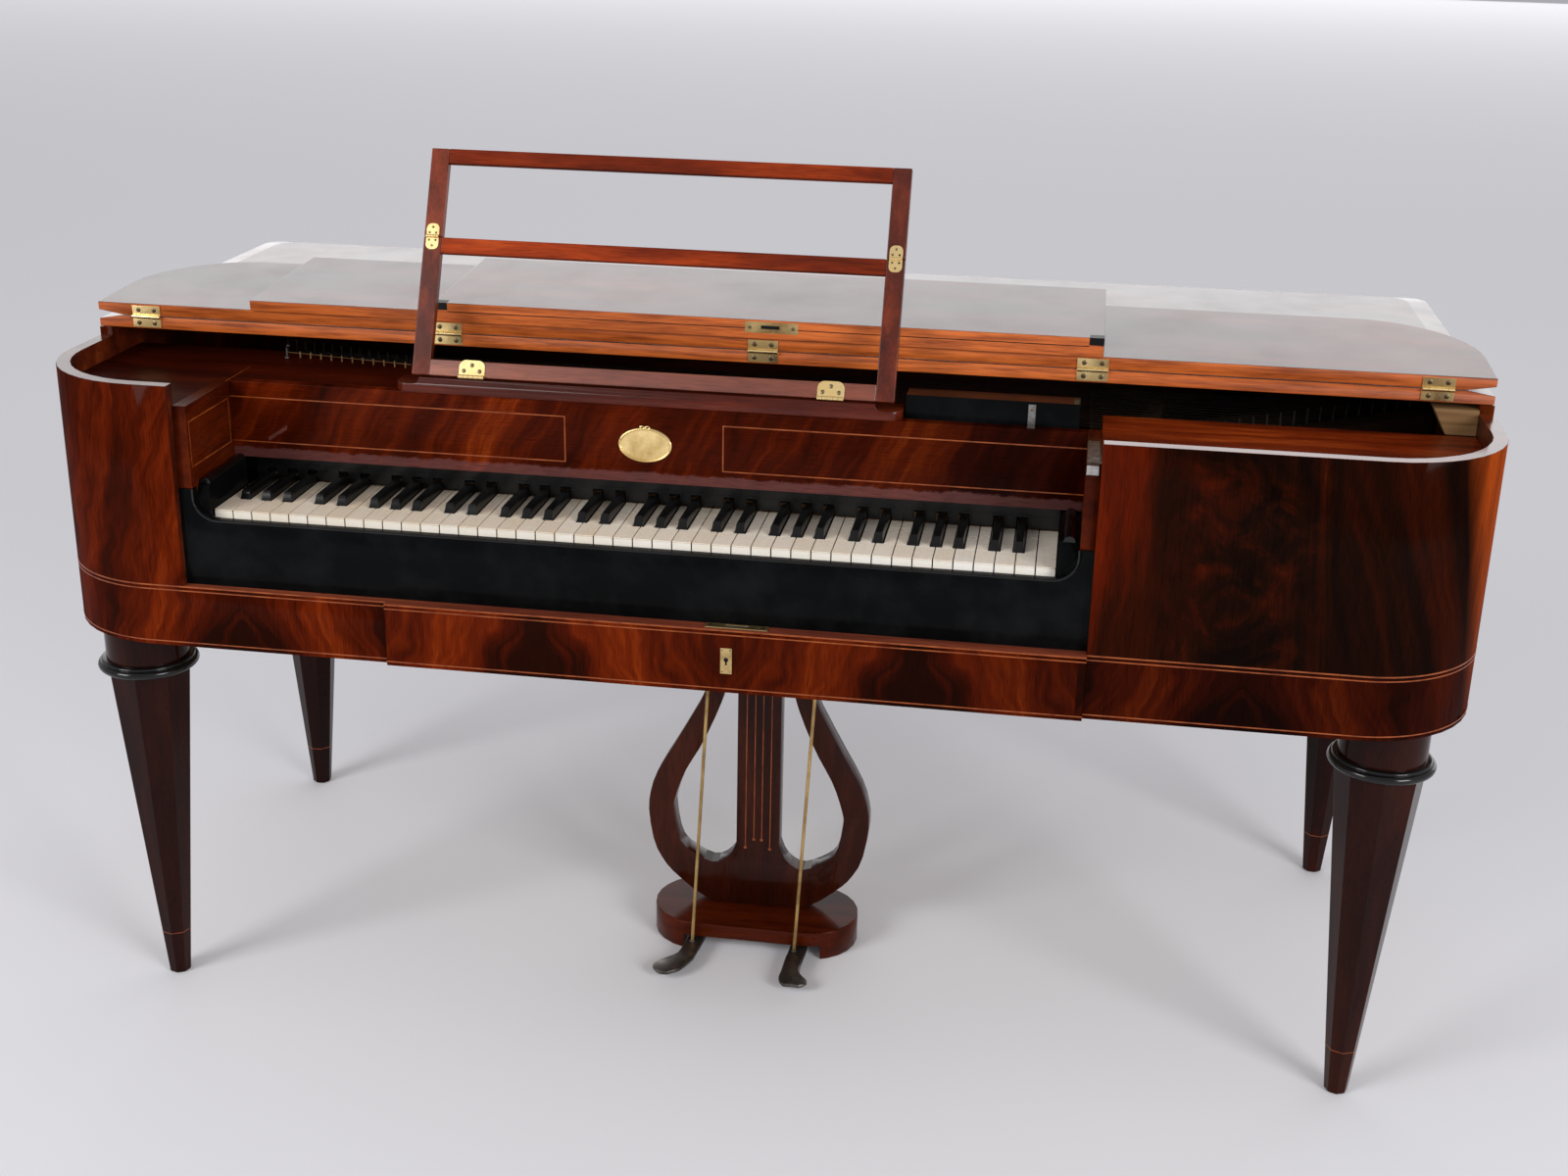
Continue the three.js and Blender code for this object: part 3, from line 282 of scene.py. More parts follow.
def polished(make, place, along, colour, gloss):
    """Pores, uneven polish and a slight relief, over a wood colour."""
    fibres = make.noise(make.mapping(place, along), 380, 2, 0.6)
    pores = make.noise(make.mapping(place, tuple(a if a == 1 else PORE_SHARE for a in along)), 1200, 1, 0.5)
    open_pores = make.ramp(pores, (0.36, (0.5, 0.45, 0.45)), (0.43, WHITE))
    shade = make.ramp(fibres, (0.3, (0.55, 0.5, 0.5)), (0.7, (1.25, 1.25, 1.25)))
    make.set("Base Color", make.times(make.times(colour, shade, 0.30), open_pores, 0.7))
    make.set("Roughness", make.span(make.noise(place, 11, 4, 0.6), 0.3, 0.75, gloss, gloss + 0.10))
    return make.relief(fibres, 0.04)


def mahogany(name, grain, seed, gloss, specular, tone, contrast=1.0):
    """French-polished mahogany with straight, slightly wandering grain."""
    make = Finish(name, MAHOGANY[1], gloss, specular)
    place = make.mapping(make.place, location=(seed, seed * 1.7, seed * 0.6))
    bend = make.vector("SUBTRACT", make.noise(place, 4, 2, 0.5, output="Color"), (HALF_WAY,) * 3)
    warped = make.vector("MULTIPLY_ADD", bend, (0.05,) * 3, place)
    along = GRAIN[grain]
    streaks = make.noise(make.mapping(warped, along), 34, 4, 0.62, 0.2)
    clouds = make.noise(make.mapping(warped, tuple(0.35 + 0.65 * a for a in along)), 6, 2, 0.5)
    figure = make.vary(make.vary(HALF_WAY, clouds, 0.9 * contrast), streaks, contrast)
    return polished(make, place, along, make.wood(figure, FIGURE_STOPS, tone), gloss)


# Flame veneer of the case front: the leaves' mirror lines, as distances from the middle of the case
FLAME_MIDDLE = -0.004
FLAME_INNER = 0.217
FLAME_OUTER = 0.574
FLAME_LEAN = 0.36
FLAME_REACH = 0.26
FLAME_SHARES = ((0.0, 0.08), (0.16, 0.18), (0.34, 0.60), (0.62, 0.50), (1.0, 0.36))
# The right panel: its foot, its burl's middle, its browns, both sides' factors, and the right corner's
# painted orange highlight: its colour, lean and top
PANEL_FOOT = 0.5672
BURL_MIDDLE = 0.555
PANEL_TONES = (
    (0.0055, 0.0020, 0.0010), (0.012, 0.0032, 0.0011),
    (0.034, 0.0054, 0.0010), (0.085, 0.0150, 0.0022),
)
PANEL_SHADES = ((2.1, 0.66), (1.1, 0.55), (0.6, 0.5))
PAINTED_HIGHLIGHT_TONE = (0.36, 0.056, 0.006)
PAINTED_HIGHLIGHT_LEAN = 0.15
PAINTED_HIGHLIGHT_TOP = 0.81


def panel_colour(make, x, z):
    """The right panel's veneer: upright bands, a dark burl in the middle, and streaks that lean right."""
    bend = make.noise(make.combine(x, 0.0, z), 5, 3, 0.6)
    lean = make.product(make.span(x, BURL_MIDDLE, BURL_MIDDLE + 0.10, 0.0, 0.42), z)
    line = make.line(bend, 0.06, make.math("ADD", x, lean))
    bands = make.noise(make.combine(line, 0.0, make.product(z, 0.10)), 15, 4, 0.6)
    burl = make.noise(make.combine(x, 0.3, z), 15, 4, 0.6, 1.9)
    core = make.span(make.apart(x, BURL_MIDDLE), 0.03, 0.10, 0.85, 0.0)
    figure = make.line(core, make.minus(make.minus(burl, 0.04), bands), bands)
    veneer = make.ramp(figure, *zip((0.36, 0.48, 0.60, 0.78), PANEL_TONES))
    shades = [make.span(x, 0.46, 0.54, left, right) for left, right in PANEL_SHADES]
    return make.times(veneer, make.combine(*shades))


def painted_corner_highlight(make, x, y, z):
    """Painted highlight: where the right corner turns away, an orange sheen is painted into the veneer; how
    much of it, from 0 to 1.
    """
    start = make.line(z, PAINTED_HIGHLIGHT_LEAN, make.math("ADD", y, -PAINTED_HIGHLIGHT_TOP * PAINTED_HIGHLIGHT_LEAN))
    grain = make.noise(make.combine(x, make.line(z, -0.10, y), 0.0), 60, 3, 0.6)
    share = make.product(make.above(x, 0.5), make.span(grain, 0.3, 0.6, 0.5, 1.0))
    share = make.product(share, make.span(start, -0.348, -0.318))
    share = make.product(share, make.span(y, -0.225, -0.150, 1.0, 0.25))
    return make.product(share, make.span(z, 0.50, 0.74, 0.30, 0.85))


def flame_mahogany(name, gloss, specular, tone):
    """Crotch mahogany, book-matched: dark feathers, broad at the foot, and bright leaning streaks."""
    make = Finish(name, MAHOGANY[1], gloss, specular)
    x, y, z = make.split(make.place)
    turned = make.math("MAXIMUM", make.minus(y, CASE_FRONT * MM), 0.0)
    reach = make.math("ADD", make.apart(x, FLAME_MIDDLE), turned)
    across = make.math("MINIMUM", make.apart(reach, FLAME_INNER), make.apart(reach, FLAME_OUTER))
    rise = make.minus(z, CASE_FOOT * MM)
    leaf = make.above(reach, (FLAME_INNER + FLAME_OUTER) / 2)
    drift = make.noise(make.combine(across, leaf, rise), 5.5, 3, 0.55)
    line = make.vary(make.line(rise, FLAME_LEAN, across), drift, 0.15)
    flow = make.combine(line, leaf, make.product(rise, 0.16))
    shares = [(position, (share,) * 3) for position, share in FLAME_SHARES]
    figure = make.ramp(make.math("DIVIDE", line, FLAME_REACH), *shares)
    figure = make.vary(figure, make.noise(flow, 46, 4, 0.62, 0.15), 0.85)
    figure = make.vary(figure, make.noise(flow, 13, 2, 0.5), 0.7)
    flame = make.wood(figure, (0.16, 0.40, 0.62, 0.92), tone)
    flame = make.dim(flame, make.span(x, -0.10, 0.50, 1.0, 0.42))
    panel = panel_colour(make, make.math("ADD", x, turned), z)
    on_panel = make.product(make.above(x, OPENING_RIGHT * MM), make.above(z, PANEL_FOOT))
    # The right corner's orange sheen is a painted highlight, mixed into the colour
    colour = make.mix(painted_corner_highlight(make, x, y, z), make.mix(on_panel, flame, panel), PAINTED_HIGHLIGHT_TONE)
    make.set("Coat Weight", 0.05)
    make.set("Coat Roughness", 0.08)
    return polished(make, make.place, GRAIN["z"], colour, gloss)


# The nameboard's smear, from its low to its high end as (x, z), its tone, and the worn edge's height and tone
SMEAR = ((-0.5865, 0.7155), (-0.5618, 0.7317))
SMEAR_TONE = (0.30, 0.13, 0.11)
WORN_FROM = 0.0045
WORN_TO = 0.0075
WORN_TONE = (0.16, 0.065, 0.06)


def board_veneer(name, gloss, specular, tone):
    """The nameboard: feathers that lean to the right, a worn edge above the keys, and one pale smear."""
    make = Finish(name, MAHOGANY[1], gloss, specular)
    x, _, z = make.split(make.place)
    foot = BOARD_FOOT * MM
    rise = make.minus(z, foot)
    bend = make.noise(make.combine(x, 0.0, z), 7, 3, 0.6)
    line = make.line(bend, 0.07, make.line(rise, -0.5, x))
    flow = make.combine(line, 0.0, make.product(rise, 0.14))
    figure = make.vary(0.47, make.noise(flow, 55, 4, 0.62, 0.2), 0.7)
    figure = make.vary(figure, make.noise(flow, 8, 3, 0.5), 1.5)
    colour = make.dim(make.wood(figure, FIGURE_STOPS, tone), make.span(x, 0.0, 0.24, 1.0, 0.42))
    ragged = make.line(make.noise(make.place, 60, 4, 0.7), -0.012, z)
    worn = make.span(ragged, foot + WORN_FROM, foot + WORN_TO, 0.55, 0.0)
    colour = make.mix(worn, colour, WORN_TONE)
    (x0, z0), (x1, z1) = SMEAR
    off = make.math("ABSOLUTE", make.line(make.minus(x, x0), (z0 - z1) / (x1 - x0), make.minus(z, z0)))
    inside = make.product(make.above(x, x0), make.math("LESS_THAN", x, x1))
    smear = make.product(make.span(off, 0.001, 0.0035, 0.30, 0.0), inside)
    return polished(make, make.place, GRAIN["x"], make.mix(smear, colour, SMEAR_TONE), gloss)


def raw_edge(name, colour):
    """Sawn mahogany without polish, as on the edges of the lid's boards."""
    make = Finish(name, colour, 0.45, 0.3)
    grain = make.noise(make.mapping(make.place, (0.06, 1, 1)), 240, 4, 0.65)
    clouds = make.noise(make.mapping(make.place, (0.3, 1, 1)), 9, 3, 0.5)
    shade = make.ramp(grain, (0.32, (0.45, 0.38, 0.34)), (0.56, WHITE), (0.74, (1.25, 1.3, 1.35)))
    patch = make.ramp(clouds, (0.35, (0.62, 0.55, 0.5)), (0.6, (1.1, 1.1, 1.1)))
    make.set("Base Color", make.times(make.times(colour, shade), patch))
    return make.relief(grain, 0.12)


def softwood(name, colour):
    make = Finish(name, colour, 0.6, 0.25)
    rings = make.noise(make.mapping(make.place, (0.05, 1, 1)), 150, 3, 0.5)
    shade = make.ramp(rings, (0.35, (0.62, 0.52, 0.42)), (0.6, (1.05, 1.05, 1.05)))
    make.set("Base Color", make.times(colour, shade, 0.8))
    return make.relief(rings, 0.1)


def inlay(name, colour):
    """Stringing of pale wood: short changes of tone along the line."""
    make = Finish(name, colour, 0.25, 0.3)
    tone = make.noise(make.place, 42, 3, 0.6)
    shade = make.ramp(tone, (0.34, (0.55, 0.45, 0.4)), (0.62, (1.1, 1.1, 1.1)))
    make.set("Base Color", make.times(colour, shade))
    return make.relief(make.noise(make.place, 700, 2), 0.05)


def blackened(name, colour, gloss, specular):
    """Ebonised wood: a black gloss over faint grain, rubbed in places."""
    make = Finish(name, colour, gloss, specular)
    grain = make.noise(make.mapping(make.place, (0.12, 1, 1)), 220, 3, 0.6)
    rubbed = make.noise(make.place, 14, 4, 0.65)
    lighter = tuple(channel * 2.2 + 0.002 for channel in colour)
    make.set("Base Color", make.mix(make.span(rubbed, 0.45, 0.8), colour, lighter))
    make.set("Roughness", make.span(rubbed, 0.35, 0.75, gloss, gloss + 0.15))
    return make.relief(grain, 0.05)


def ivory(name, colour, stain):
    """Ivory with lengthwise lines, a tone of its own on each key, and stains, more of them in the bass."""
    make = Finish(name, colour, 0.22, 0.5)
    x = make.split(make.place)[0]
    number = make.math("FLOOR", make.math("DIVIDE", make.minus(x, KEYS_LEFT * MM), PITCH * MM))
    own = make.add("ShaderNodeTexWhiteNoise", {"W": number}, noise_dimensions="1D").outputs["Value"]
    lines = make.noise(make.mapping(make.place, (1, 0.04, 1)), 520, 2, 0.5)
    cloud = make.noise(make.place, 34, 4, 0.6)
    patches = make.noise(make.place, 90, 3, 0.7)
    amount = make.line(own, 0.22, make.span(x, -0.62, 0.25, 0.24, 0.0))
    amount = make.line(make.span(cloud, 0.42, 0.72), 0.20, amount)
    amount = make.line(make.span(patches, 0.60, 0.76), 0.16, amount)
    shade = make.ramp(lines, (0.38, (0.9, 0.86, 0.8)), (0.6, WHITE))
    make.set("Base Color", make.times(make.mix(amount, colour, stain), shade, 0.35))
    make.set("Roughness", make.span(cloud, 0.3, 0.7, 0.16, 0.34))
    make.set("Subsurface Weight", 0.12)
    make.set("Subsurface Radius", (0.9, 0.6, 0.35))
    make.set("Subsurface Scale", 0.002)
    return make.relief(lines, 0.05)


def metal(name, colour, dark, roughness, wear_scale=30.0):
    """Metal with tarnish in patches, fine scratches and uneven shine."""
    make = Finish(name, colour, roughness, 0.5, 1.0)
    tarnish = make.noise(make.place, wear_scale, 5, 0.62)
    make.set("Base Color", make.mix(make.span(tarnish, 0.42, 0.68), colour, dark))
    make.set("Roughness", make.span(tarnish, 0.35, 0.7, roughness, roughness + 0.25))
    return make.relief(make.noise(make.place, 900, 2, 0.6), 0.08, 0.0002)


def hollow(name, colour, roughness):
    """Painted shade for the inside of a slot or a hole: matt, with a fine grain."""
    make = Finish(name, colour, roughness, 0.2)
    grain = make.noise(make.place, 200, 3, 0.6)
    darker = tuple(channel * 0.6 for channel in colour)
    make.set("Base Color", make.mix(make.span(grain, 0.3, 0.7), colour, darker))
    return make.relief(grain, 0.2)


# Polished mahogany: its grain's axis, a seed, gloss, specular, tone and contrast
POLISHED = {
    "inner": ("x", 1.1, 0.3, 0.25, (0.8, 0.8, 0.8)),
    "top": ("x", 2.3, 0.16, 0.5, (0.9, 1.2, 1.6), 0.8),
    # The lock rail's top: a pale pinkish-grey tone, a painted reflection over its real gloss
    "ledge_painted_sheen": ("x", 2.9, 0.40, 0.35, (2.6, 4.0, 7.0), 0.5),
    "cheek": ("y", 3.7, 0.16, 0.05, (0.8, 0.7, 0.5), 0.7),
    "desk_along": ("x", 4.2, 0.16, 0.15, (2.3, 1.9, 1.2), 0.8),
    # The desk's bottom rail: the same mahogany made paler and pinker as a painted sheen, besides its real
    # gloss
    "desk_low": ("x", 4.2, 0.26, 0.8, (1.6, 2.4, 4.2), 0.6),
    "desk_upright": ("z", 4.9, 0.20, 0.35, (1.5, 1.6, 2.0), 0.8),
    "base": ("x", 5.2, 0.18, 0.25, (1.0, 0.95, 1.3), 0.7),
    "leg": ("z", 5.5, 0.10, 0.12, (0.24, 0.30, 0.5), 0.6),
    "lyre": ("z", 6.4, 0.12, 0.14, (0.38, 0.50, 0.7), 0.6),
    "plinth": ("x", 7.2, 0.12, 0.10, (0.65, 0.6, 0.4), 0.7),
    # The two shelves are one wood: the left one darkened as painted shade, the right one brightened as
    # painted light
    "shelf": ("x", 8.3, 0.42, 0.02, (0.36, 0.27, 0.20), 0.8),
    "shelf_painted_light": ("x", 8.9, 0.20, 0.08, (1.3, 1.1, 0.8)),
    "rim": ("x", 9.1, 0.10, 0.6, (1.4, 1.8, 2.4), 0.7),
    "rim_left": ("x", 9.4, 0.16, 0.18, (0.9, 1.6, 3.0), 0.7),
}
FINISH = {name: mahogany(f"mahogany_{name}", *values) for name, values in POLISHED.items()}
FINISH |= {
    "front": flame_mahogany("mahogany_flame", 0.12, 0.0, (0.86, 0.60, 0.28)),
    "nameboard": board_veneer("mahogany_nameboard", 0.15, 0.03, (0.80, 0.58, 0.30)),
    "edge": raw_edge("mahogany_raw_edge", (0.50, 0.115, 0.020)),
    "stringing": inlay("boxwood_stringing", (0.27, 0.062, 0.012)),
    "softwood": softwood("lime_wood", (0.50, 0.30, 0.14)),
    # The case's inside wood: its darkness is painted shade
    "inside": softwood("inside_wood_painted_shade", (0.050, 0.026, 0.014)),
    # Spruce inside the case: the wood's own tone, darkened in part as painted shade
    "spruce_painted_shade": softwood("spruce_painted_shade", (0.20, 0.11, 0.045)),
    "collar": blackened("ebonised_collar", (0.003, 0.003, 0.003), 0.10, 0.35),
    "black_gloss": blackened("ebonised_gloss", (0.0024, 0.0026, 0.0028), 0.12, 0.04),
    "black_satin": blackened("ebonised_satin", (0.006, 0.006, 0.006), 0.30, 0.15),
    "strip": blackened("ebonised_strip", (0.004, 0.004, 0.004), 0.22, 0.45),
    "ebony": blackened("ebony_wood", (0.0045, 0.0042, 0.0040), 0.16, 0.22),
    "ivory": ivory("ivory_plate", (0.95, 0.86, 0.74), (0.66, 0.48, 0.27)),
    "ivory_front": ivory("ivory_front", (0.98, 0.94, 0.88), (0.80, 0.68, 0.48)),
    "brass": metal("brass_bright", (0.98, 0.74, 0.34), (0.62, 0.42, 0.16), 0.24),
    "brass_worn": metal("brass_worn", (0.62, 0.45, 0.20), (0.22, 0.13, 0.05), 0.36),
    "rod": metal("brass_rod", (0.56, 0.38, 0.15), (0.22, 0.13, 0.05), 0.42, 18.0),
    "screw": metal("screw_brass", (0.24, 0.18, 0.10), (0.08, 0.055, 0.03), 0.34, 120.0),
    "latch": metal("latch_brown", (0.11, 0.075, 0.055), (0.05, 0.03, 0.022), 0.36, 90.0),
    "strap": metal("strap_grey", (0.26, 0.25, 0.24), (0.10, 0.09, 0.085), 0.36, 90.0),
    "iron": metal("pedal_iron", (0.16, 0.145, 0.135), (0.045, 0.036, 0.030), 0.38, 40.0),
    "string": metal("string_iron", (0.07, 0.062, 0.055), (0.03, 0.024, 0.02), 0.4, 60.0),
    "steel": metal("steel_bright", (0.62, 0.61, 0.60), (0.30, 0.27, 0.25), 0.30, 60.0),
    "shadow": hollow("painted_shade_hollow", (0.006, 0.005, 0.005), 0.8),
}


# Shapes. They are drawn in millimetres, in the model's own frame, and turned to metres when a piece is made.
SHARP_EDGE = math.radians(32)
UNMOVED = Matrix.Identity(4)


def box_mm(node):
    low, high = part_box(node)
    return low / MM, high / MM


def arc(cx, cy, radius, first, last, steps):
    """Points on a circle from one angle to another, in degrees."""
    angles = [math.radians(first + (last - first) * i / steps) for i in range(steps + 1)]
    return [(cx + radius * math.cos(a), cy + radius * math.sin(a)) for a in angles]


def ellipse(cx, cy, half_width, half_height, steps=48):
    angles = [2 * math.pi * i / steps for i in range(steps)]
    return [(cx + half_width * math.cos(a), cy + half_height * math.sin(a)) for a in angles]


def circle(cx, cy, radius, steps):
    return ellipse(cx, cy, radius, radius, steps)


def rectangle(u0, u1, v0, v1):
    return [(u0, v0), (u1, v0), (u1, v1), (u0, v1)]


def skin(rings, closed=False):
    """Rings of points with the same count, joined by faces; open runs get end faces."""
    shape = bmesh.new()
    made = [[shape.verts.new(point) for point in ring] for ring in rings]
    count = len(made[0])
    pairs = list(zip(made, made[1:]))
    if closed:
        pairs.append((made[-1], made[0]))
    for first, second in pairs:
        for i in range(count):
            j = (i + 1) % count
            shape.faces.new((first[i], first[j], second[j], second[i]))
    if not closed:
        shape.faces.new(made[0])
        shape.faces.new(made[-1])
    return shape


def order(axis, u, v, w):
    return {"x": (w, u, v), "y": (u, w, v), "z": (u, v, w)}[axis]


def prism(points, low, high, axis="z"):
    """An outline drawn across an axis and run along it: (x, y) along z, (x, z) along y, (y, z) along x."""
    return skin([[order(axis, u, v, w) for u, v in points] for w in (low, high)])


def cuboid(x0, x1, y0, y1, z0, z1):
    return prism(rectangle(x0, x1, y0, y1), z0, z1)


def lathe(profile, centre=(0, 0), steps=20):
    """(radius, height) pairs turned about an upright axis. The profile starts and ends off the axis."""
    return skin([[(x, y, z) for x, y in circle(*centre, radius, steps)] for radius, z in profile])


def sweep(path, radius, sides=12, closed=False):
    """A round bar along a path."""
    points = [Vector(point) for point in path]
    count = len(points)
    rings = []
    for i, point in enumerate(points):
        before = points[i - 1] if closed or i > 0 else point
        after = points[(i + 1) % count] if closed or i < count - 1 else point
        along = (after - before).normalized()
        helper = Vector((0, 0, 1)) if abs(along.z) < 0.9 else Vector((0, 1, 0))
        side = along.cross(helper).normalized()
        up = side.cross(along)
        rings.append([point + side * u + up * v for u, v in circle(0, 0, radius, sides)])
    return skin(rings, closed)


def moved(shape, place):
    shape.transform(place)
    return shape


def finished(finish, *shapes):
    return [(shape, finish) for shape in shapes]


def soften(piece, width, segments=2):
    bevel = piece.modifiers.new("bevel", "BEVEL")
    bevel.width = width * MM
    bevel.segments = segments
    bevel.limit_method = "ANGLE"
    bevel.angle_limit = SHARP_EDGE
    bevel.harden_normals = True


def assemble(name, parts, body, bevel=0.0, segments=2, place=UNMOVED, replaces=()):
    """Makes one piece from (shape, finish) pairs. place is a matrix, in mm, for shapes drawn elsewhere."""
    finishes = list(dict.fromkeys(finish for _, finish in parts))
    whole = bmesh.new()
    for shape, finish in parts:
        bmesh.ops.recalc_face_normals(shape, faces=shape.faces)
        for face in shape.faces:
            face.material_index = finishes.index(finish)
            face.smooth = True
        step = bpy.data.meshes.new("step")
        shape.to_mesh(step)
        whole.from_mesh(step)
        bpy.data.meshes.remove(step)
        shape.free()
    whole.transform(place)
    whole.transform(Matrix.Scale(MM, 4))
    mesh = bpy.data.meshes.new(name)
    whole.to_mesh(mesh)
    whole.free()
    mesh.set_sharp_from_angle(angle=SHARP_EDGE)
    for finish in finishes:
        mesh.materials.append(FINISH[finish])
    piece = bpy.data.objects.new(name, mesh)
    bpy.context.scene.collection.objects.link(piece)
    if bevel:
        soften(piece, bevel, segments)
    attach(piece, body)
    if replaces:
        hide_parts(*replaces)


UPWARD = (0, 0, 1)
FORWARD = (0, -1, 0)
SCREW_RISE = 0.35
SLOT_HALF = 0.22


def screw(centre, facing, radius, turn):
    """A slotted screw head: its disc and its slot, a dark bar of painted shade, facing along a direction."""
    profile = [(radius, -0.3), (radius, 0), (radius * 0.8, SCREW_RISE), (radius * 0.1, SCREW_RISE * 1.2)]
    slot = cuboid(-radius * 0.85, radius * 0.85, -SLOT_HALF, SLOT_HALF, 0, SCREW_RISE * 1.25)
    toward = Vector(facing).to_track_quat("Z", "Y").to_matrix().to_4x4()
    place = Matrix.Translation(centre) @ toward @ Matrix.Rotation(turn, 4, "Z")
    return [(moved(lathe(profile), place), "screw"), (moved(slot, place), "shadow")]


# The solids of the frame that are shown as they are, with the finish of each face
WELD = 0.01
LEVEL = 0.95


def dress(node, rule, slot, bevel=0.6):
    """Shows a CAD node: softened edges, and a finish for each face, by its normal and its middle."""
    piece = NODES[node]
    piece.data.materials.clear()
    names = []
    for face in piece.data.polygons:
        name = rule(face.normal, face.center / MM) if callable(rule) else rule
        if name not in names:
            names.append(name)
            piece.data.materials.append(FINISH[name])
        face.material_index = names.index(name)
        face.use_smooth = abs(face.normal.z) < LEVEL
    weld = piece.modifiers.new("weld", "WELD")
    weld.merge_threshold = WELD * MM
    soften(piece, bevel)


def case_end_face(normal, centre):
    if normal.z > 0.5:
        return "rim" if centre.x > 0 else "rim_left"
    outward = normal.x * centre.x + normal.y * centre.y > 0
    return "front" if outward and abs(normal.z) < 0.5 else "inner"


def lock_rail_face(normal, centre):
    if normal.z > 0.5:
        return "ledge_painted_sheen"
    return "front" if centre.y < CASE_FRONT + 1 else "inner"


def nameboard_face(normal, centre):
    if centre.y > BOARD_BACK and centre.z < STRIP_TOP + 1:
        return "black_gloss"
    return "nameboard" if normal.y < 0.5 else "inner"


def leaf_face(normal, _):
    return "edge" if normal.y < -0.9 else "top"


DRESSED = {
    "case_left_end": (case_end_face, "mahogany"),
    "case_right_end": (case_end_face, "mahogany"),
    "lock_rail": (lock_rail_face, "mahogany", 0.8),
    "nameboard": (nameboard_face, "mahogany"),
    "lid_rear": (leaf_face, "mahogany", 1.0),
    "lid_front": (leaf_face, "mahogany", 1.0),
    "fall_board": (leaf_face, "mahogany", 1.0),
    "case_back": ("inner", "mahogany"),
    "bottom_board": ("spruce_painted_shade", "softwood"),
    "key_slip": ("black_gloss", "ebony"),
    "cheek_left": ("cheek", "mahogany"),
    "cheek_right": ("cheek", "mahogany"),
    "shelf_left": ("shelf", "mahogany"),
    "shelf_right": ("shelf_painted_light", "mahogany"),
    "key_frame": ("spruce_painted_shade", "softwood"),
    "hammer_action": ("softwood", "softwood"),
    "action_cover": ("black_gloss", "ebony"),
    "soundboard": ("spruce_painted_shade", "softwood"),
    "wrest_plank": ("inside", "softwood"),
    "hitch_rail": ("inside", "softwood"),
    "lock_plate": ("brass_worn", "brass"),
    "lock_bolt": ("steel", "steel"),
    "desk_base": ("base", "mahogany"),
    "lyre_frame": ("lyre", "mahogany", 1.2),
    "lyre_plinth": ("plinth", "mahogany", 1.2),
}
for node, look in DRESSED.items():
    dress(node, *look)


# Keyboard: 73 keys from F to F
KEYS = 73
KEY_GAP = 1.25
KEY_TOP = 657
KEY_FOOT = 640
KEY_FRONT = -340
KEY_END = -40
HEAD_END = -297
HEAD_ROUNDING = 1.6
SEEN_END = -213
PLATE = 1.3
PLATE_JOINT = 0.15
OVERHANG = 0.7
LEVER_INSET = 0.2
SHARP_WIDTH = 11.4
SHARP_TOP_WIDTH = 8.6
SHARP_TOP = 668
SHARP_FRONT = -296
SHARP_SLOPE = 5
SHARP_FOOT = 655
SHARP_ROUNDING = 1.4
SHARP_STEPS = {1: -0.14, 3: 0.0, 5: 0.14, 8: -0.10, 10: 0.10}
LETTERS = ("f", "fsharp", "g", "gsharp", "a", "asharp", "b", "c", "csharp", "d", "dsharp", "e")
OCTAVE = len(LETTERS)
STEPS_TO_C = 7
FIRST_SINGLE = 31
Key = namedtuple("Key", "name sharp place")


def key_list():
    """The keys from the left. Their places are the left edge of a natural and the middle of a sharp."""
    keys = []
    natural = 0
    for number in range(KEYS):
        step = number % OCTAVE
        name = f"{LETTERS[step]}{1 + (number + OCTAVE - STEPS_TO_C) // OCTAVE}"
        keys.append(Key(name, step in SHARP_STEPS, KEYS_LEFT + (natural + SHARP_STEPS.get(step, 0)) * PITCH))
        if step not in SHARP_STEPS:
            natural += 1
    return keys


KEY_LIST = key_list()


def key_node(number):
    if number < FIRST_SINGLE:
        return "keys_bass"
    if number >= FIRST_SINGLE + OCTAVE:
        return "keys_treble"
    return f"key_{KEY_LIST[number].name}"


def natural_parts(number):
    left = KEY_LIST[number].place + KEY_GAP / 2
    right = left + PITCH - KEY_GAP
    side = SHARP_WIDTH / 2 + KEY_GAP
    tail_left, tail_right = left, right
    if number > 0 and KEY_LIST[number - 1].sharp:
        tail_left = KEY_LIST[number - 1].place + side
    if number + 1 < KEYS and KEY_LIST[number + 1].sharp:
        tail_right = KEY_LIST[number + 1].place - side
    seat, wood_front, inset = KEY_TOP - PLATE, KEY_FRONT + OVERHANG + PLATE, LEVER_INSET
    lever = [
        (left + inset, wood_front), (right - inset, wood_front), (right - inset, HEAD_END),
        (tail_right - inset, HEAD_END), (tail_right - inset, KEY_END), (tail_left + inset, KEY_END),
        (tail_left + inset, HEAD_END), (left + inset, HEAD_END),
    ]
    curve, bend = HEAD_ROUNDING, KEY_FRONT + HEAD_ROUNDING
    head = [
        (left, HEAD_END - PLATE_JOINT), (left, bend),
        *arc(left + curve, bend, curve, 180, 270, 4), *arc(right - curve, bend, curve, 270, 360, 4),
        (right, bend), (right, HEAD_END - PLATE_JOINT),
    ]
    tail = cuboid(tail_left, tail_right, HEAD_END + PLATE_JOINT, SEEN_END, seat, KEY_TOP - 0.1)
    front = cuboid(left + 0.1, right - 0.1, KEY_FRONT + OVERHANG, wood_front, KEY_FOOT, seat - 0.25)
    plates = finished("ivory", prism(head, seat, KEY_TOP), tail)
    return [(prism(lever, KEY_FOOT, seat), "softwood"), *plates, (front, "ivory_front")]


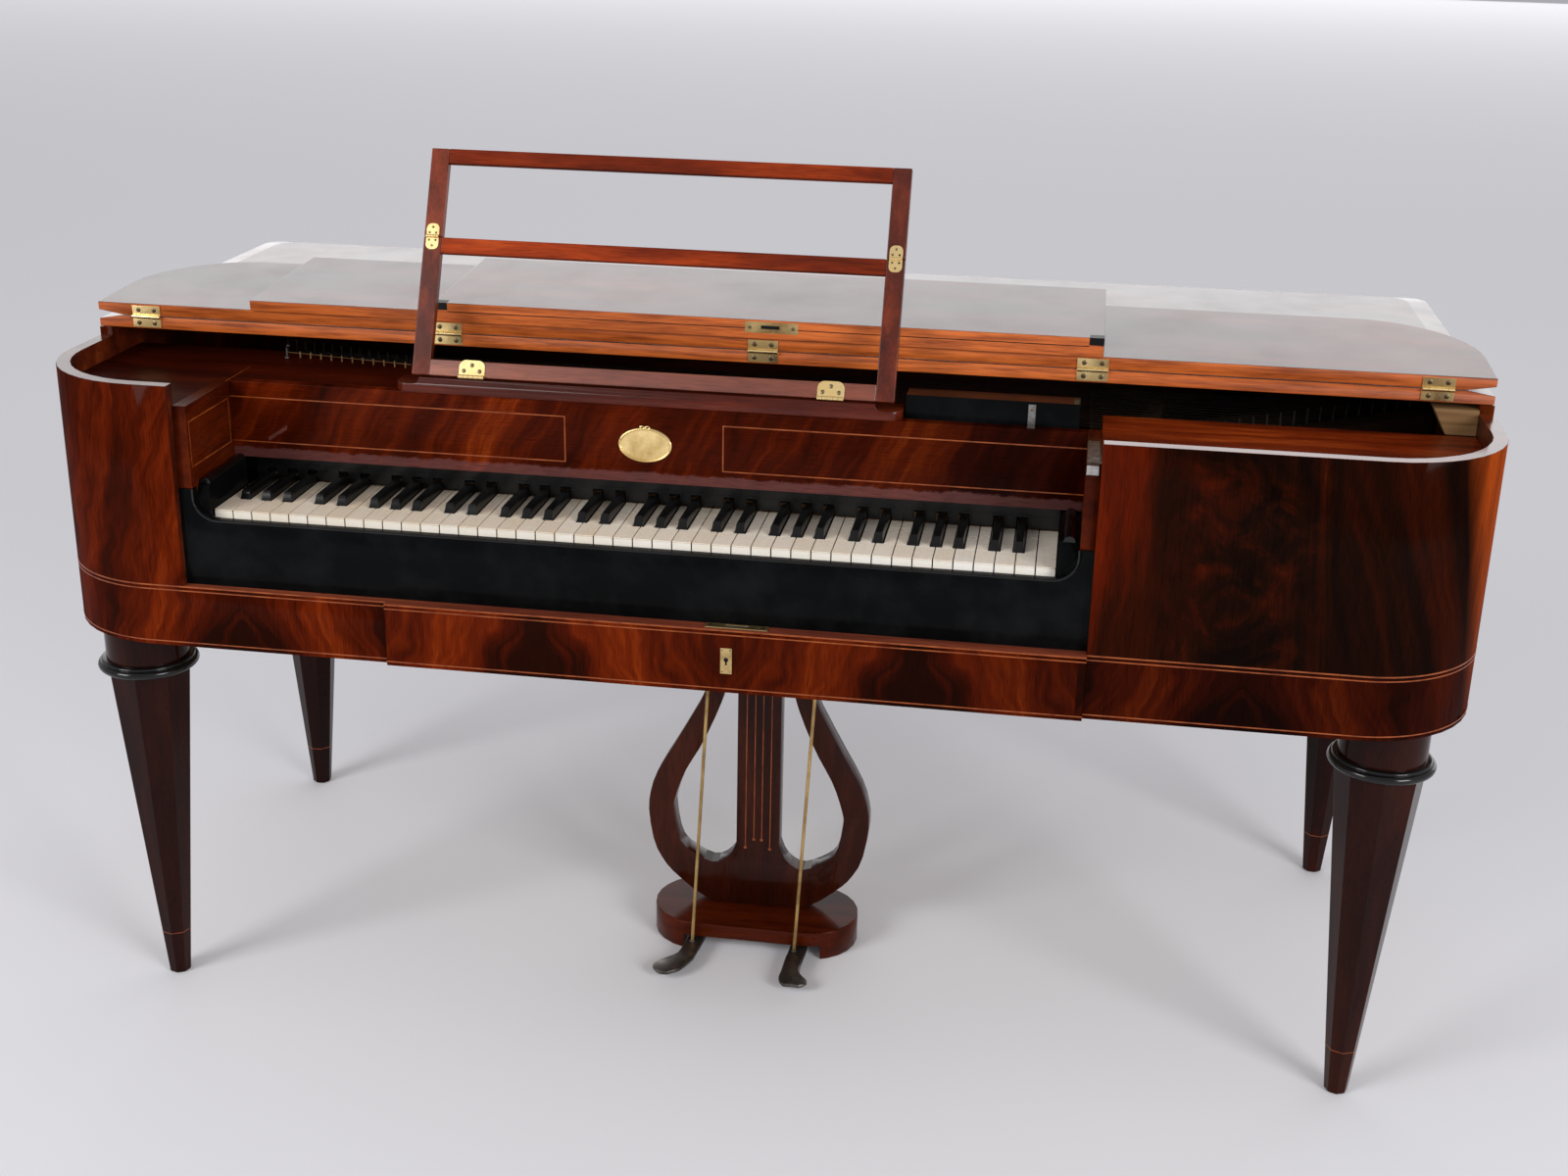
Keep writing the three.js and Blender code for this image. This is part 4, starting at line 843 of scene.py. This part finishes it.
def sharp_parts(number):
    middle = KEY_LIST[number].place
    half, top = SHARP_WIDTH / 2, SHARP_TOP_WIDTH / 2
    levels = (
        (half, SHARP_FRONT, SHARP_FOOT),
        (half, SHARP_FRONT, KEY_TOP + 0.6),
        (top + 0.35, SHARP_FRONT + SHARP_SLOPE - 1, SHARP_TOP - SHARP_ROUNDING),
        (top - 0.6, SHARP_FRONT + SHARP_SLOPE + 0.6, SHARP_TOP),
    )
    cap = skin([
        [(x, y, z) for x, y in rectangle(middle - reach, middle + reach, front, SEEN_END - 1)]
        for reach, front, z in levels
    ])
    left, right = middle - half + LEVER_INSET, middle + half - LEVER_INSET
    lever = cuboid(left, right, SHARP_FRONT, KEY_END, KEY_FOOT, SHARP_FOOT)
    return [(cap, "ebony"), (lever, "inside")]


def make_keys():
    for number, key in enumerate(KEY_LIST):
        node = key_node(number)
        parts = sharp_parts(number) if key.sharp else natural_parts(number)
        slot = "ebony" if key.sharp else "ivory"
        assemble(f"{slot}_key_{key.name}", parts, node, 0.35, replaces=(node,))


make_keys()


# Black strip behind the keys: it comes down between the sharps, and each notch has a raised rim
STRIP_FRONT = -212
STRIP_THICK = 1.2
STRIP_FOOT = 658.6
NOTCH_TOP = 673.5
NOTCH_HALF = SHARP_WIDTH / 2 + 0.9
NOTCH_RIM = 1.5
RIM_FOOT = STRIP_FOOT + 5
RIM_PROUD = 1.1


def make_key_strip():
    middles = [key.place for key in KEY_LIST if key.sharp]
    ends = [KEYS_LEFT - NOTCH_HALF, *middles, KEYS_LEFT + NATURALS * PITCH + NOTCH_HALF]
    tongues = [(before + NOTCH_HALF, after - NOTCH_HALF) for before, after in zip(ends, ends[1:])]
    front = STRIP_FRONT - STRIP_THICK
    shapes = [cuboid(tongues[0][0], tongues[-1][1], front, STRIP_FRONT, NOTCH_TOP, STRIP_TOP)]
    shapes += [cuboid(*tongue, front, STRIP_FRONT, STRIP_FOOT, NOTCH_TOP) for tongue in tongues]
    rim_low, rim_high = NOTCH_TOP - NOTCH_RIM, NOTCH_TOP + NOTCH_RIM
    for middle in middles:
        left, right = middle - NOTCH_HALF, middle + NOTCH_HALF
        for x0, x1, z0, z1 in (
            (left - NOTCH_RIM, right + NOTCH_RIM, rim_low, rim_high),
            (left - NOTCH_RIM, left, RIM_FOOT, rim_low),
            (right, right + NOTCH_RIM, RIM_FOOT, rim_low),
        ):
            shapes.append(cuboid(x0, x1, front - RIM_PROUD, front, z0, z1))
    assemble("key_strip", finished("strip", *shapes), "case", 0.25)


make_key_strip()


# Inlaid lines. Each stands a hair proud of the veneer.
PROUD = 0.12
SUNK = 0.4
LINE = 1.4
BOARD_LINE_LOW = 711
BOARD_LINE_HIGH = 767


def case_line(offset, steps=24):
    """The outline of the case in plan, from the back of the left side round the front to the right side."""
    left = arc(-CASE_HALF + CORNER, CASE_FRONT + CORNER, CORNER + offset, 180, 270, steps)
    right = arc(CASE_HALF - CORNER, CASE_FRONT + CORNER, CORNER + offset, 270, 360, steps)
    return [
        (-CASE_HALF - offset, CASE_BACK), *left,
        (BREAKFRONT_LEFT - offset, CASE_FRONT - offset), (BREAKFRONT_LEFT - offset, BREAKFRONT_Y - offset),
        (OPENING_RIGHT + offset, BREAKFRONT_Y - offset), (OPENING_RIGHT + offset, CASE_FRONT - offset),
        *right, (CASE_HALF + offset, CASE_BACK),
    ]


def case_ribbon(z0, z1):
    outer, inner = case_line(PROUD), case_line(-SUNK)
    return skin([[(*o, z0), (*o, z1), (*i, z1), (*i, z0)] for o, i in zip(outer, inner)])


def line_frame(u0, u1, v0, v1, axis, face, inward):
    """A rectangle of inlaid lines on a face across an axis. inward is the way into the wood, 1 or -1."""
    low, high = sorted((face - inward * PROUD, face + inward * SUNK))
    bars = (
        (u0, u1, v0, v0 + LINE), (u0, u1, v1 - LINE, v1),
        (u0, u0 + LINE, v0 + LINE, v1 - LINE), (u1 - LINE, u1, v0 + LINE, v1 - LINE),
    )
    return finished("stringing", *(prism(rectangle(*bar), low, high, axis) for bar in bars))


def make_stringing():
    upper, lower, foot, hidden = RAIL_TOP - 1.9, RAIL_TOP - 6.8, CASE_FOOT + 4.5, LINE + 0.3
    lines = (upper, RAIL_TOP - 0.2), (lower, lower + LINE), (foot, foot + LINE)
    ribbons = finished("stringing", *(case_ribbon(*line) for line in lines))
    assemble("case_stringing", ribbons, "case")
    board = []
    for left, right in ((BOARD_LEFT - hidden, -219), (-32, BOARD_RIGHT + hidden)):
        board += line_frame(left, right, BOARD_LINE_LOW, BOARD_LINE_HIGH, "y", BOARD_FRONT, 1)
    assemble("nameboard_stringing", board, "case")
    cheek = line_frame(-355, -246, BOARD_LINE_LOW, BOARD_LINE_HIGH - 1, "x", BOARD_LEFT, -1)
    assemble("cheek_stringing", cheek, "case")


make_stringing()


# Key slip: a round bead along its curved top edge
SLIP_Y = -361.4
SLIP_LOW = 650
SLIP_HIGH = 687
SLIP_CURVE = 28


def make_slip_bead():
    left, right, middle = BOARD_LEFT + SLIP_CURVE, BOARD_RIGHT - SLIP_CURVE, SLIP_LOW + SLIP_CURVE
    line = [
        (BOARD_LEFT, SLIP_HIGH), *arc(left, middle, SLIP_CURVE, 180, 270, 14),
        *arc(right, middle, SLIP_CURVE, 270, 360, 14), (BOARD_RIGHT, SLIP_HIGH),
    ]
    bead = sweep([(x, SLIP_Y, z) for x, z in line], 1.5, 10)
    assemble("slip_bead", [(bead, "collar")], "case")


make_slip_bead()


# Small metal plates on the case
def make_escutcheon():
    half, foot, top, face = 6.6, 517.5, 548.6, BREAKFRONT_Y - 0.7
    keyhole = circle(0, 534.5, 2.7, 20), [(-1.2, 528), (1.2, 528), (1.0, 534), (-1.0, 534)]
    parts = [(cuboid(-half, half, face, BREAKFRONT_Y, foot, top), "brass_worn")]
    parts += finished("shadow", *(prism(outline, face - 0.1, BREAKFRONT_Y, "y") for outline in keyhole))
    forward = Matrix.Rotation(math.pi / 2, 4, "X")
    for x in (-half + 2.2, half - 2.2):
        for z in (foot + 2.4, top - 2.4):
            pin = lathe([(0.7, 0), (0.65, 0.3), (0.1, 0.4)], steps=10)
            parts.append((moved(pin, Matrix.Translation((x, face, z)) @ forward), "shadow"))
    assemble("escutcheon", parts, "case", 0.25)


def make_lock_screws():
    y, z = -369.5, RAIL_TOP + 1.2
    parts = screw((-20, y, z), UPWARD, 3.2, 0.3) + screw((40, y, z), UPWARD, 3.2, 1.2)
    assemble("lock_plate_screws", parts, "case")


def make_latch_plate():
    left, right, drop, reach, top, front = 384.6, 397.6, 12.5, 84, CHEEK_TOP + 1.3, CHEEK_FRONT - 1.3
    hook = [
        (front, CHEEK_TOP - drop), (CHEEK_FRONT, CHEEK_TOP - drop), (CHEEK_FRONT, CHEEK_TOP),
        (CHEEK_FRONT + reach, CHEEK_TOP), (CHEEK_FRONT + reach, top), (front, top),
    ]
    # A bright steel lip along the front leaf's foot: a painted highlight on the dark plate
    highlight_lip = cuboid(left, right, front - 0.5, front, CHEEK_TOP - drop, CHEEK_TOP - 2)
    parts = [(prism(hook, left, right, "x"), "latch"), (highlight_lip, "steel")]
    for x in (left + 3.7, right - 3.7):
        for y in (CHEEK_FRONT + 34, CHEEK_FRONT + 73):
            parts += screw((x, y, top), UPWARD, 1.9, 0.03 * y)
    assemble("latch_plate", parts, "case", 0.3)


make_escutcheon()
make_lock_screws()
make_latch_plate()


# Oval plate, left bare: a thin sheet in a raised rim, with a small bow on top
PLATE_RIM = 1.6


def make_nameplate():
    low, high = box_mm("nameplate")
    x, z = (low.x + high.x) / 2, (low.z + high.z) / 2
    half_width, half_height = (high.x - low.x) / 2 - PLATE_RIM, (high.z - low.z) / 2 - PLATE_RIM
    top, bow_y = z + (high.z - low.z) / 2, high.y - 1.4
    sheet = prism(ellipse(x, z, half_width, half_height, 64), high.y - 0.8, high.y, "y")
    path = [(u, high.y - 0.9, v) for u, v in ellipse(x, z, half_width, half_height, 72)]
    knot = lathe([(0.2, -1.2), (1.1, -0.6), (1.1, 0.6), (0.2, 1.2)], steps=12)
    knot.transform(Matrix.Translation((x, bow_y, top)))
    shapes = [sheet, sweep(path, PLATE_RIM, 10, closed=True), knot]
    for side in (-1, 1):
        loop = [(u, bow_y, v) for u, v in ellipse(x + side * 3.2, top + 0.2, 2.6, 1.5, 16)]
        shapes.append(sweep(loop, 0.75, 8, closed=True))
    assemble("oval_plate", finished("brass", *shapes), "case", replaces=("nameplate",))


make_nameplate()


# Lid: butt hinges of two leaves, and the fittings of the fall. FLAP is the folded front leaf's own place.
LID_AXIS = Matrix.Translation((0, -157.5, 836.75))
FLAP = LID_AXIS @ Matrix.Rotation(math.radians(3.8), 4, "X")
REAR_LEAF = (-156.5, -155, 823.5, 835.5)
FRONT_LEAF = (1.3, 2.8, 1.25, 13.25)
KNUCKLES = 5
KNUCKLE_GAP = 0.15
LID_BARREL = 2.5


def knuckles(x0, x1, radius, first, place=UNMOVED):
    """The parts of a hinge's barrel that belong to one leaf: every other one, from the first."""
    step = (x1 - x0) / KNUCKLES
    shapes = []
    for i in range(first, KNUCKLES, 2):
        ends = x0 + i * step + KNUCKLE_GAP, x0 + (i + 1) * step - KNUCKLE_GAP
        shapes.append(moved(sweep([(x, 0, 0) for x in ends], radius, 20), place))
    return finished("brass", *shapes)


def make_lid_hinges():
    for number in range(1, 6):
        node = f"lid_hinge_{number}"
        low, high = box_mm(node)
        rear = [(cuboid(low.x, high.x, *REAR_LEAF), "brass")]
        rear += knuckles(low.x, high.x, LID_BARREL, 0, LID_AXIS)
        front = [(cuboid(low.x, high.x, *FRONT_LEAF), "brass")]
        front += knuckles(low.x, high.x, LID_BARREL, 1)
        for side in (-10, 10):
            x = (low.x + high.x) / 2 + side
            rear += screw((x, REAR_LEAF[0], 829), FORWARD, 3.1, 0.2 + 0.5 * number)
            front += screw((x, FRONT_LEAF[0], 8), FORWARD, 3.1, 1.1 + 0.4 * number)
        assemble(f"hinge_rear_leaf_{number}", rear, "lid_rear", 0.2, replaces=(node,))
        assemble(f"hinge_front_leaf_{number}", front, "lid_front", 0.2, place=FLAP)


make_lid_hinges()


# The edge of the fall: its second layer and the strike plate, drawn where the folded front leaf lies
FALL_EDGE = -1.4
FALL_FACE = FALL_EDGE - 0.15
FALL_SEAM = 28.15
FALL_BLOCKS = (-400, -383), (379, 396)


def make_fall_layer():
    """The black blocks at both ends of the fall's second layer, and the seam between them."""
    low, high = FALL_SEAM + 1.6, FALL_SEAM + 10.55
    blocks = [cuboid(*ends, FALL_FACE, FALL_EDGE + 12, low, high) for ends in FALL_BLOCKS]
    assemble("fall_end_blocks", finished("black_satin", *blocks), "fall", 0.3, place=FLAP)
    (_, left), (right, _) = FALL_BLOCKS
    seam = cuboid(left, right, FALL_EDGE - 0.1, FALL_EDGE + 1, FALL_SEAM - 0.5, FALL_SEAM + 0.5)
    assemble("fall_seam", [(seam, "shadow")], "fall", place=FLAP)


def make_strike_plate():
    left, right, low, high, back = -21, 42, 22.8, 36.2, FALL_EDGE + 1
    slot = cuboid(left + 19, right - 22, FALL_FACE - 0.05, back, low + 5, high - 4)
    parts = [(cuboid(left, right, FALL_FACE, back, low, high), "brass_worn"), (slot, "shadow")]
    for x, turn in ((left + 6, 0.5), (right - 6, 1.4)):
        parts += screw((x, FALL_FACE, (low + high) / 2), FORWARD, 2.4, turn)
    assemble("strike_plate", parts, "fall", 0.2, place=FLAP)


make_fall_layer()
make_strike_plate()


# Music desk: two frames of stiles and rails, and their hinges
DESK = Matrix.Translation((-119.5, -240.5, 807.1)) @ Matrix.Rotation(math.radians(-24), 4, "X")
DESK_HALF = 284.5
DESK_INNER = 263
DESK_FACE = 2.3
DESK_BACK = 13.3
DESK_MIDDLE = 164
DESK_TOP = 270
LEFT_STILE = -DESK_HALF, -DESK_INNER
RIGHT_STILE = DESK_INNER, DESK_HALF
RAIL = -DESK_INNER, DESK_INNER
LOWER = 0, DESK_MIDDLE
UPPER = DESK_MIDDLE + 0.6, DESK_TOP
DESK_BARS = (
    ("lower_stile_left", "lower", LEFT_STILE, LOWER, "desk_upright"),
    ("upper_stile_left", "upper", LEFT_STILE, UPPER, "desk_upright"),
    ("lower_stile_right", "lower", RIGHT_STILE, LOWER, "desk_upright"),
    ("upper_stile_right", "upper", RIGHT_STILE, UPPER, "desk_upright"),
    ("bottom_rail", "lower", RAIL, (0, 19), "desk_low"),
    ("middle_rail", "lower", RAIL, (DESK_MIDDLE - 18.5, DESK_MIDDLE), "desk_along"),
    ("top_rail", "upper", RAIL, (DESK_TOP - 17, DESK_TOP), "desk_along"),
)
LEAF_FACE = DESK_FACE - 1.3


def make_desk():
    for name, level, across, heights, finish in DESK_BARS:
        bar = cuboid(*across, DESK_FACE, DESK_BACK, *heights)
        body, node = f"desk_{level}", f"desk_{level}_frame"
        assemble(f"desk_{name}", [(bar, finish)], body, 1.1, 3, place=DESK, replaces=(node,))


def hinge_leaf(x, half, near, far, curve):
    """A thin brass leaf on the desk's face, from near the hinge's axis to its round far corners."""
    upward = 1 if far > near else -1
    corners = arc(half - curve, -curve, curve, 0, 90, 6) + arc(curve - half, -curve, curve, 90, 180, 6)
    points = [(x - half, near), (x + half, near), *((x + u, far + v * upward) for u, v in corners)]
    return prism(points, LEAF_FACE, DESK_FACE, "y"), "brass"


def make_foot_hinge(name, x):
    half, radius = 15.5, 2.4
    leaf = [hinge_leaf(x, half, 1.2, 20, 8), *knuckles(x - half, x + half, radius, 0)]
    for side, z in ((-9.5, 7), (9.5, 7), (0, 14)):
        leaf += screw((x + side, LEAF_FACE, z), FORWARD, 2.7, 0.5 + side / 9)
    node = f"desk_foot_hinge_{name}"
    assemble(f"foot_hinge_{name}", leaf, "desk_lower", 0.15, place=DESK, replaces=(node,))
    fixed = knuckles(x - half, x + half, radius, 1)
    assemble(f"foot_hinge_base_{name}", fixed, "case", place=DESK)


def make_middle_hinge(name, x):
    half, radius, axis = 7.6, 1.9, 164.3
    place = Matrix.Translation((0, 0, axis))
    node = f"desk_mid_hinge_{name}"
    for level, first, side, turn, replaced in (("lower", 0, -1, 0.3, (node,)), ("upper", 1, 1, 0.9, ())):
        leaf = [hinge_leaf(x, half, axis + side * 0.8, axis + side * 15.5, 6)]
        leaf += knuckles(x - half, x + half, radius, first, place)
        for right, away in ((-4, 4.5), (4, 4.5), (0, 11)):
            leaf += screw((x + right, LEAF_FACE, axis + side * away), FORWARD, 1.5, turn + right)
        body, piece = f"desk_{level}", f"middle_hinge_{level}_{name}"
        assemble(piece, leaf, body, 0.15, place=DESK, replaces=replaced)


make_desk()
for name, side in (("left", -1), ("right", 1)):
    make_foot_hinge(name, side * 211.5)
    make_middle_hinge(name, side * 273.75)


# Legs: a round drum, a black collar with a bead over it, and an eight-sided taper with a line near the foot
LEG_SIDES = 8
DRUM = 49.6
COLLAR_Z = 440
TAPER_TOP = 47.3
TAPER_FOOT = 12.7
LEG_LINE = 61
LEG_LINE_TOP = 62.6
LEG_HEIGHTS = (0, 1.5, LEG_LINE, LEG_LINE_TOP, 200, 330, COLLAR_Z)
FOOT_CHAMFER = 1.2
COLLAR = [(44, 435.6), *arc(54.8, 439.8, 5.2, -80, 62, 14), *arc(53.4, 446.0, 2.3, -40, 80, 8), (46, 448.4)]
LEG_TURNS = {"leg_front_left": 28, "leg_front_right": 21, "leg_rear_left": 5, "leg_rear_right": -8}


def leg_ring(x, y, z, turn, grow=0.0):
    apothem = TAPER_FOOT + (TAPER_TOP - TAPER_FOOT) * z / COLLAR_Z + grow
    radius = apothem / math.cos(math.pi / LEG_SIDES)
    turns = [math.radians(turn) + (2 * i + 1) * math.pi / LEG_SIDES for i in range(LEG_SIDES)]
    return [(x + radius * math.cos(a), y + radius * math.sin(a), z) for a in turns]


def make_leg(node, turn):
    low, high = box_mm(node)
    x, y = (low.x + high.x) / 2, (low.y + high.y) / 2
    drum = [(DRUM - 8, 436), (DRUM, 438), (DRUM, high.z - 1), (DRUM - 6, high.z)]
    taper = skin([leg_ring(x, y, z, turn, 0 if z else -FOOT_CHAMFER) for z in LEG_HEIGHTS])
    line = skin([leg_ring(x, y, z, turn, PROUD) for z in (LEG_LINE, LEG_LINE_TOP)])
    round_parts = [(lathe(drum, (x, y), 72), "leg"), (lathe(COLLAR, (x, y), 72), "collar")]
    parts = [*round_parts, (taper, "leg"), (line, "stringing")]
    assemble(f"turned_{node}", parts, "case", 0.7, replaces=(node,))


for node, turn in LEG_TURNS.items():
    make_leg(node, turn)


# Lyre: lines and dots on its column
LYRE_MIDDLE = -12
LYRE_FACE = -60
LYRE_TOP = 493
LYRE_LINES = ((-16.7, 128), (-5.3, 141), (5.3, 141), (16.7, 128))


def make_lyre_lines():
    shapes = []
    for offset, foot in LYRE_LINES:
        x = LYRE_MIDDLE + offset
        for outline in (rectangle(x - 0.6, x + 0.6, foot, LYRE_TOP), circle(x, foot - 1.5, 2.1, 20)):
            shapes.append(prism(outline, LYRE_FACE - PROUD, LYRE_FACE + SUNK, "y"))
    assemble("lyre_stringing", finished("stringing", *shapes), "case")


make_lyre_lines()


# Pedals: curved iron levers with a worn ridge along the middle, and their brass rods.
# Rows of y and of the left and right edges there, seen from above, from the pivot to the toe.
LEFT_PEDAL = (
    (-50.2, -86, -66), (-118, -94.7, -72.4), (-140, -97.5, -74.6), (-160, -100.8, -76.9),
    (-169, -106.4, -77.6), (-173, -110.4, -78.6), (-183, -120, -82), (-192, -126.5, -86),
    (-200, -126.5, -90), (-206.4, -122.4, -98), (-211, -115.9, -105),
)
RIGHT_PEDAL = (
    (-50.2, 44.5, 65.5), (-119, 43.8, 66.8), (-151, 41.9, 65.4), (-173, 41.4, 65),
    (-182, 41.2, 66.6), (-190, 40.6, 72), (-195, 40.4, 76.3), (-199, 40.9, 78.2),
    (-204, 42.4, 78.4), (-208, 44.3, 75.4), (-211, 47.5, 70),
)
PEDAL_STEPS = 5
# Where the toe starts to bend down, the length of the bend, and how far down it goes
TOE_FROM = -180
TOE_RUN = 31
TOE_DROP = 1.9
# The pedal's section: its sole and its upper side, as shares of the half width, with rises and depths
SOLE = ((-1, 1.8), (-0.86, 0), (0.86, 0), (1, 1.8))
RIDGE = ((1, 2.0), (0.84, 0.5), (0, 0), (-0.84, 0.5), (-1, 2.0))
ROD_Y = -131
ROD_TOP = 544
ROD_LEAN = 28


def between(before, first, second, after, share):
    """A smooth run from first to second, whose neighbours are before and after."""
    bend = (2 * before - 5 * first + 4 * second - after) * share ** 2
    turn = (3 * first - before - 3 * second + after) * share ** 3
    return 0.5 * (2 * first + (second - before) * share + bend + turn)


def pedal_rows(rows):
    """The rows, with smooth ones in between."""
    last = len(rows) - 2
    smooth = []
    for i in range(last + 1):
        four = rows[max(i - 1, 0)], rows[i], rows[i + 1], rows[min(i + 2, last + 1)]
        for k in range(PEDAL_STEPS + (i == last)):
            smooth.append([between(*values, k / PEDAL_STEPS) for values in zip(*four)])
    return smooth


def make_pedal(side, rows, eye_x):
    low, high = box_mm(f"pedal_{side}")
    rings = []
    for y, left, right in pedal_rows(rows):
        x, half = (left + right) / 2, (right - left) / 2
        top = high.z - TOE_DROP * max(0.0, (TOE_FROM - y) / TOE_RUN) ** 2
        sole = [(x + half * share, y, low.z + rise) for share, rise in SOLE]
        rings.append(sole + [(x + half * share, y, top - depth) for share, depth in RIDGE])
    eye = lathe([(3.6, -0.2), (4.4, 0.4), (3.6, 1.6), (2.4, 1.8)])
    parts = finished("iron", skin(rings), moved(eye, Matrix.Translation((eye_x, ROD_Y, high.z - 0.4))))
    node = f"pedal_{side}"
    assemble(f"iron_pedal_{side}", parts, node, 0.5, replaces=(node,))


def make_rod(side, low_x):
    node = f"pedal_rod_{side}"
    low, _ = box_mm(node)
    heights = low.z, low.z + 120, 260, 400, ROD_TOP
    rod = sweep([(low_x + ROD_LEAN * z / ROD_TOP, ROD_Y, z) for z in heights], 2.2, 20)
    assemble(f"brass_rod_{side}", [(rod, "rod")], f"rod_{side}", replaces=(node,))


make_pedal("left", LEFT_PEDAL, -87.1)
make_pedal("right", RIGHT_PEDAL, 50.9)
make_rod("left", -88)
make_rod("right", 50)


# Inside: a bowed bridge, and strings from the hitch pins at the left to the tuning pins at the right
STRINGS = 16
STRING_Z = 748
PIN_FOOT = 745.3
PIN_NECK = 757
PIN_TOP = 765
TUNING_PINS = (787.7, 112.0), (529.3, -90.0)
HITCH_PINS = (-682.0, 61.0), (-468.0, -3.0)
BRIDGE = (432, -82), (470, 173)
BRIDGE_STEPS = 24
BRIDGE_BOW = 18
BRIDGE_HALF = 7
BRIDGE_FOOT = 706


def partway(first, last, share):
    return tuple(a + (b - a) * share for a, b in zip(first, last))


def upright(x, y, z0, z1, radius, sides=12):
    return sweep([(x, y, z0), (x, y, z1)], radius, sides)


def make_bridge():
    edge = []
    for i in range(BRIDGE_STEPS + 1):
        share = i / BRIDGE_STEPS
        x, y = partway(*BRIDGE, share)
        edge.append((x + BRIDGE_BOW * math.sin(math.pi * share), y))
    plan = [(x + BRIDGE_HALF, y) for x, y in edge] + [(x - BRIDGE_HALF, y) for x, y in reversed(edge)]
    return prism(plan, BRIDGE_FOOT, STRING_Z - 0.6)


def make_strings():
    shapes = []
    for i in range(STRINGS):
        hitch = partway(*HITCH_PINS, i / (STRINGS - 1))
        x, y = partway(*TUNING_PINS, i / (STRINGS - 1))
        shapes.append(sweep([(*hitch, STRING_Z), (x, y, STRING_Z)], 0.4, 8))
        shapes.append(upright(*hitch, PIN_FOOT, PIN_TOP, 1.4))
        shapes.append(upright(x, y, PIN_FOOT, PIN_NECK, 2.2, 16))
        shapes.append(cuboid(x - 1.1, x + 1.1, y - 2.1, y + 2.1, PIN_NECK, PIN_TOP))
    parts = [(make_bridge(), "inside"), *finished("string", *shapes)]
    assemble("bridge_and_strings", parts, "case", replaces=("bridge_with_strings",))


make_strings()


# Odd fittings inside the case, by the height of the shelves
SHELF_TOP = 785
SHELF_EDGE = (-621.0, -89.5), (-446.9, -115.8)
SHELF_PINS = (-592.3, -113.2), (-448.5, -133.9)
PINS = 11
HOOK = (-608, -116.9)
STRAP = (316, 324.5)


def make_shelf_pins():
    """The left shelf's pale back edge and its row of pins."""
    (x0, y0), (x1, y1) = SHELF_EDGE
    pale = [(x0, y0 - 1.6), (x1, y1 - 1.6), (x1, y1), (x0, y0)]
    shapes = [prism(pale, SHELF_TOP - 0.3, SHELF_TOP + 0.5)]
    for i in range(PINS):
        x, y = partway(*SHELF_PINS, i / (PINS - 1))
        shapes.append(upright(x, y, SHELF_TOP - 1, SHELF_TOP + 7.5, 0.9))
    assemble("shelf_pins", finished("spruce_painted_shade", *shapes), "case")


def make_shelf_hook():
    line = [(*HOOK, -1), (*HOOK, 12), (-606.5, -117.5, 15.5), (-603, -118.5, 16)]
    shapes = [sweep(line, 1.3), lathe([(3.4, 0), (3.2, 1.2), (1.4, 2.2)], HOOK, 16)]
    parts = finished("iron", *shapes)
    assemble("shelf_hook", parts, "case", place=Matrix.Translation((0, 0, SHELF_TOP)))


def make_shelf_joint():
    joint = cuboid(-634.3, -633.3, -242, -170, SHELF_TOP - 0.4, SHELF_TOP + 0.08)
    assemble("shelf_joint", [(joint, "stringing")], "case")


def make_corner_block():
    block = prism([(784, 785.1), (817.9, 785.1), (817.9, 815), (768, 815)], -158, -124, "y")
    assemble("corner_block", [(block, "spruce_painted_shade")], "case", 0.8)


def make_cover_strap():
    thick, face, back = 1.2, -223.2, -222
    upper = cuboid(*STRAP, face, back, SHELF_TOP + thick, 809)
    foot = cuboid(*STRAP, -236.5, back, SHELF_TOP, SHELF_TOP + thick)
    parts = finished("strap", upper, foot)
    parts += screw((320.2, face, 803), FORWARD, 1.9, 0.4)
    parts += screw((320.2, -231, SHELF_TOP + thick), UPWARD, 1.9, 1.3)
    assemble("cover_strap", parts, "case", 0.2)


make_shelf_pins()
make_shelf_hook()
make_shelf_joint()
make_corner_block()
make_cover_strap()


# Key blocks: a rounded bead along each top
def make_block_beads():
    for name, x in (("left", -623.6), ("right", 372.2)):
        outline = arc(x, 688.8, 6.6, 0, 180, 16)
        bead = prism(outline, -342, -240.2, "y")
        assemble(f"block_bead_{name}", [(bead, "collar")], "case")


make_block_beads()
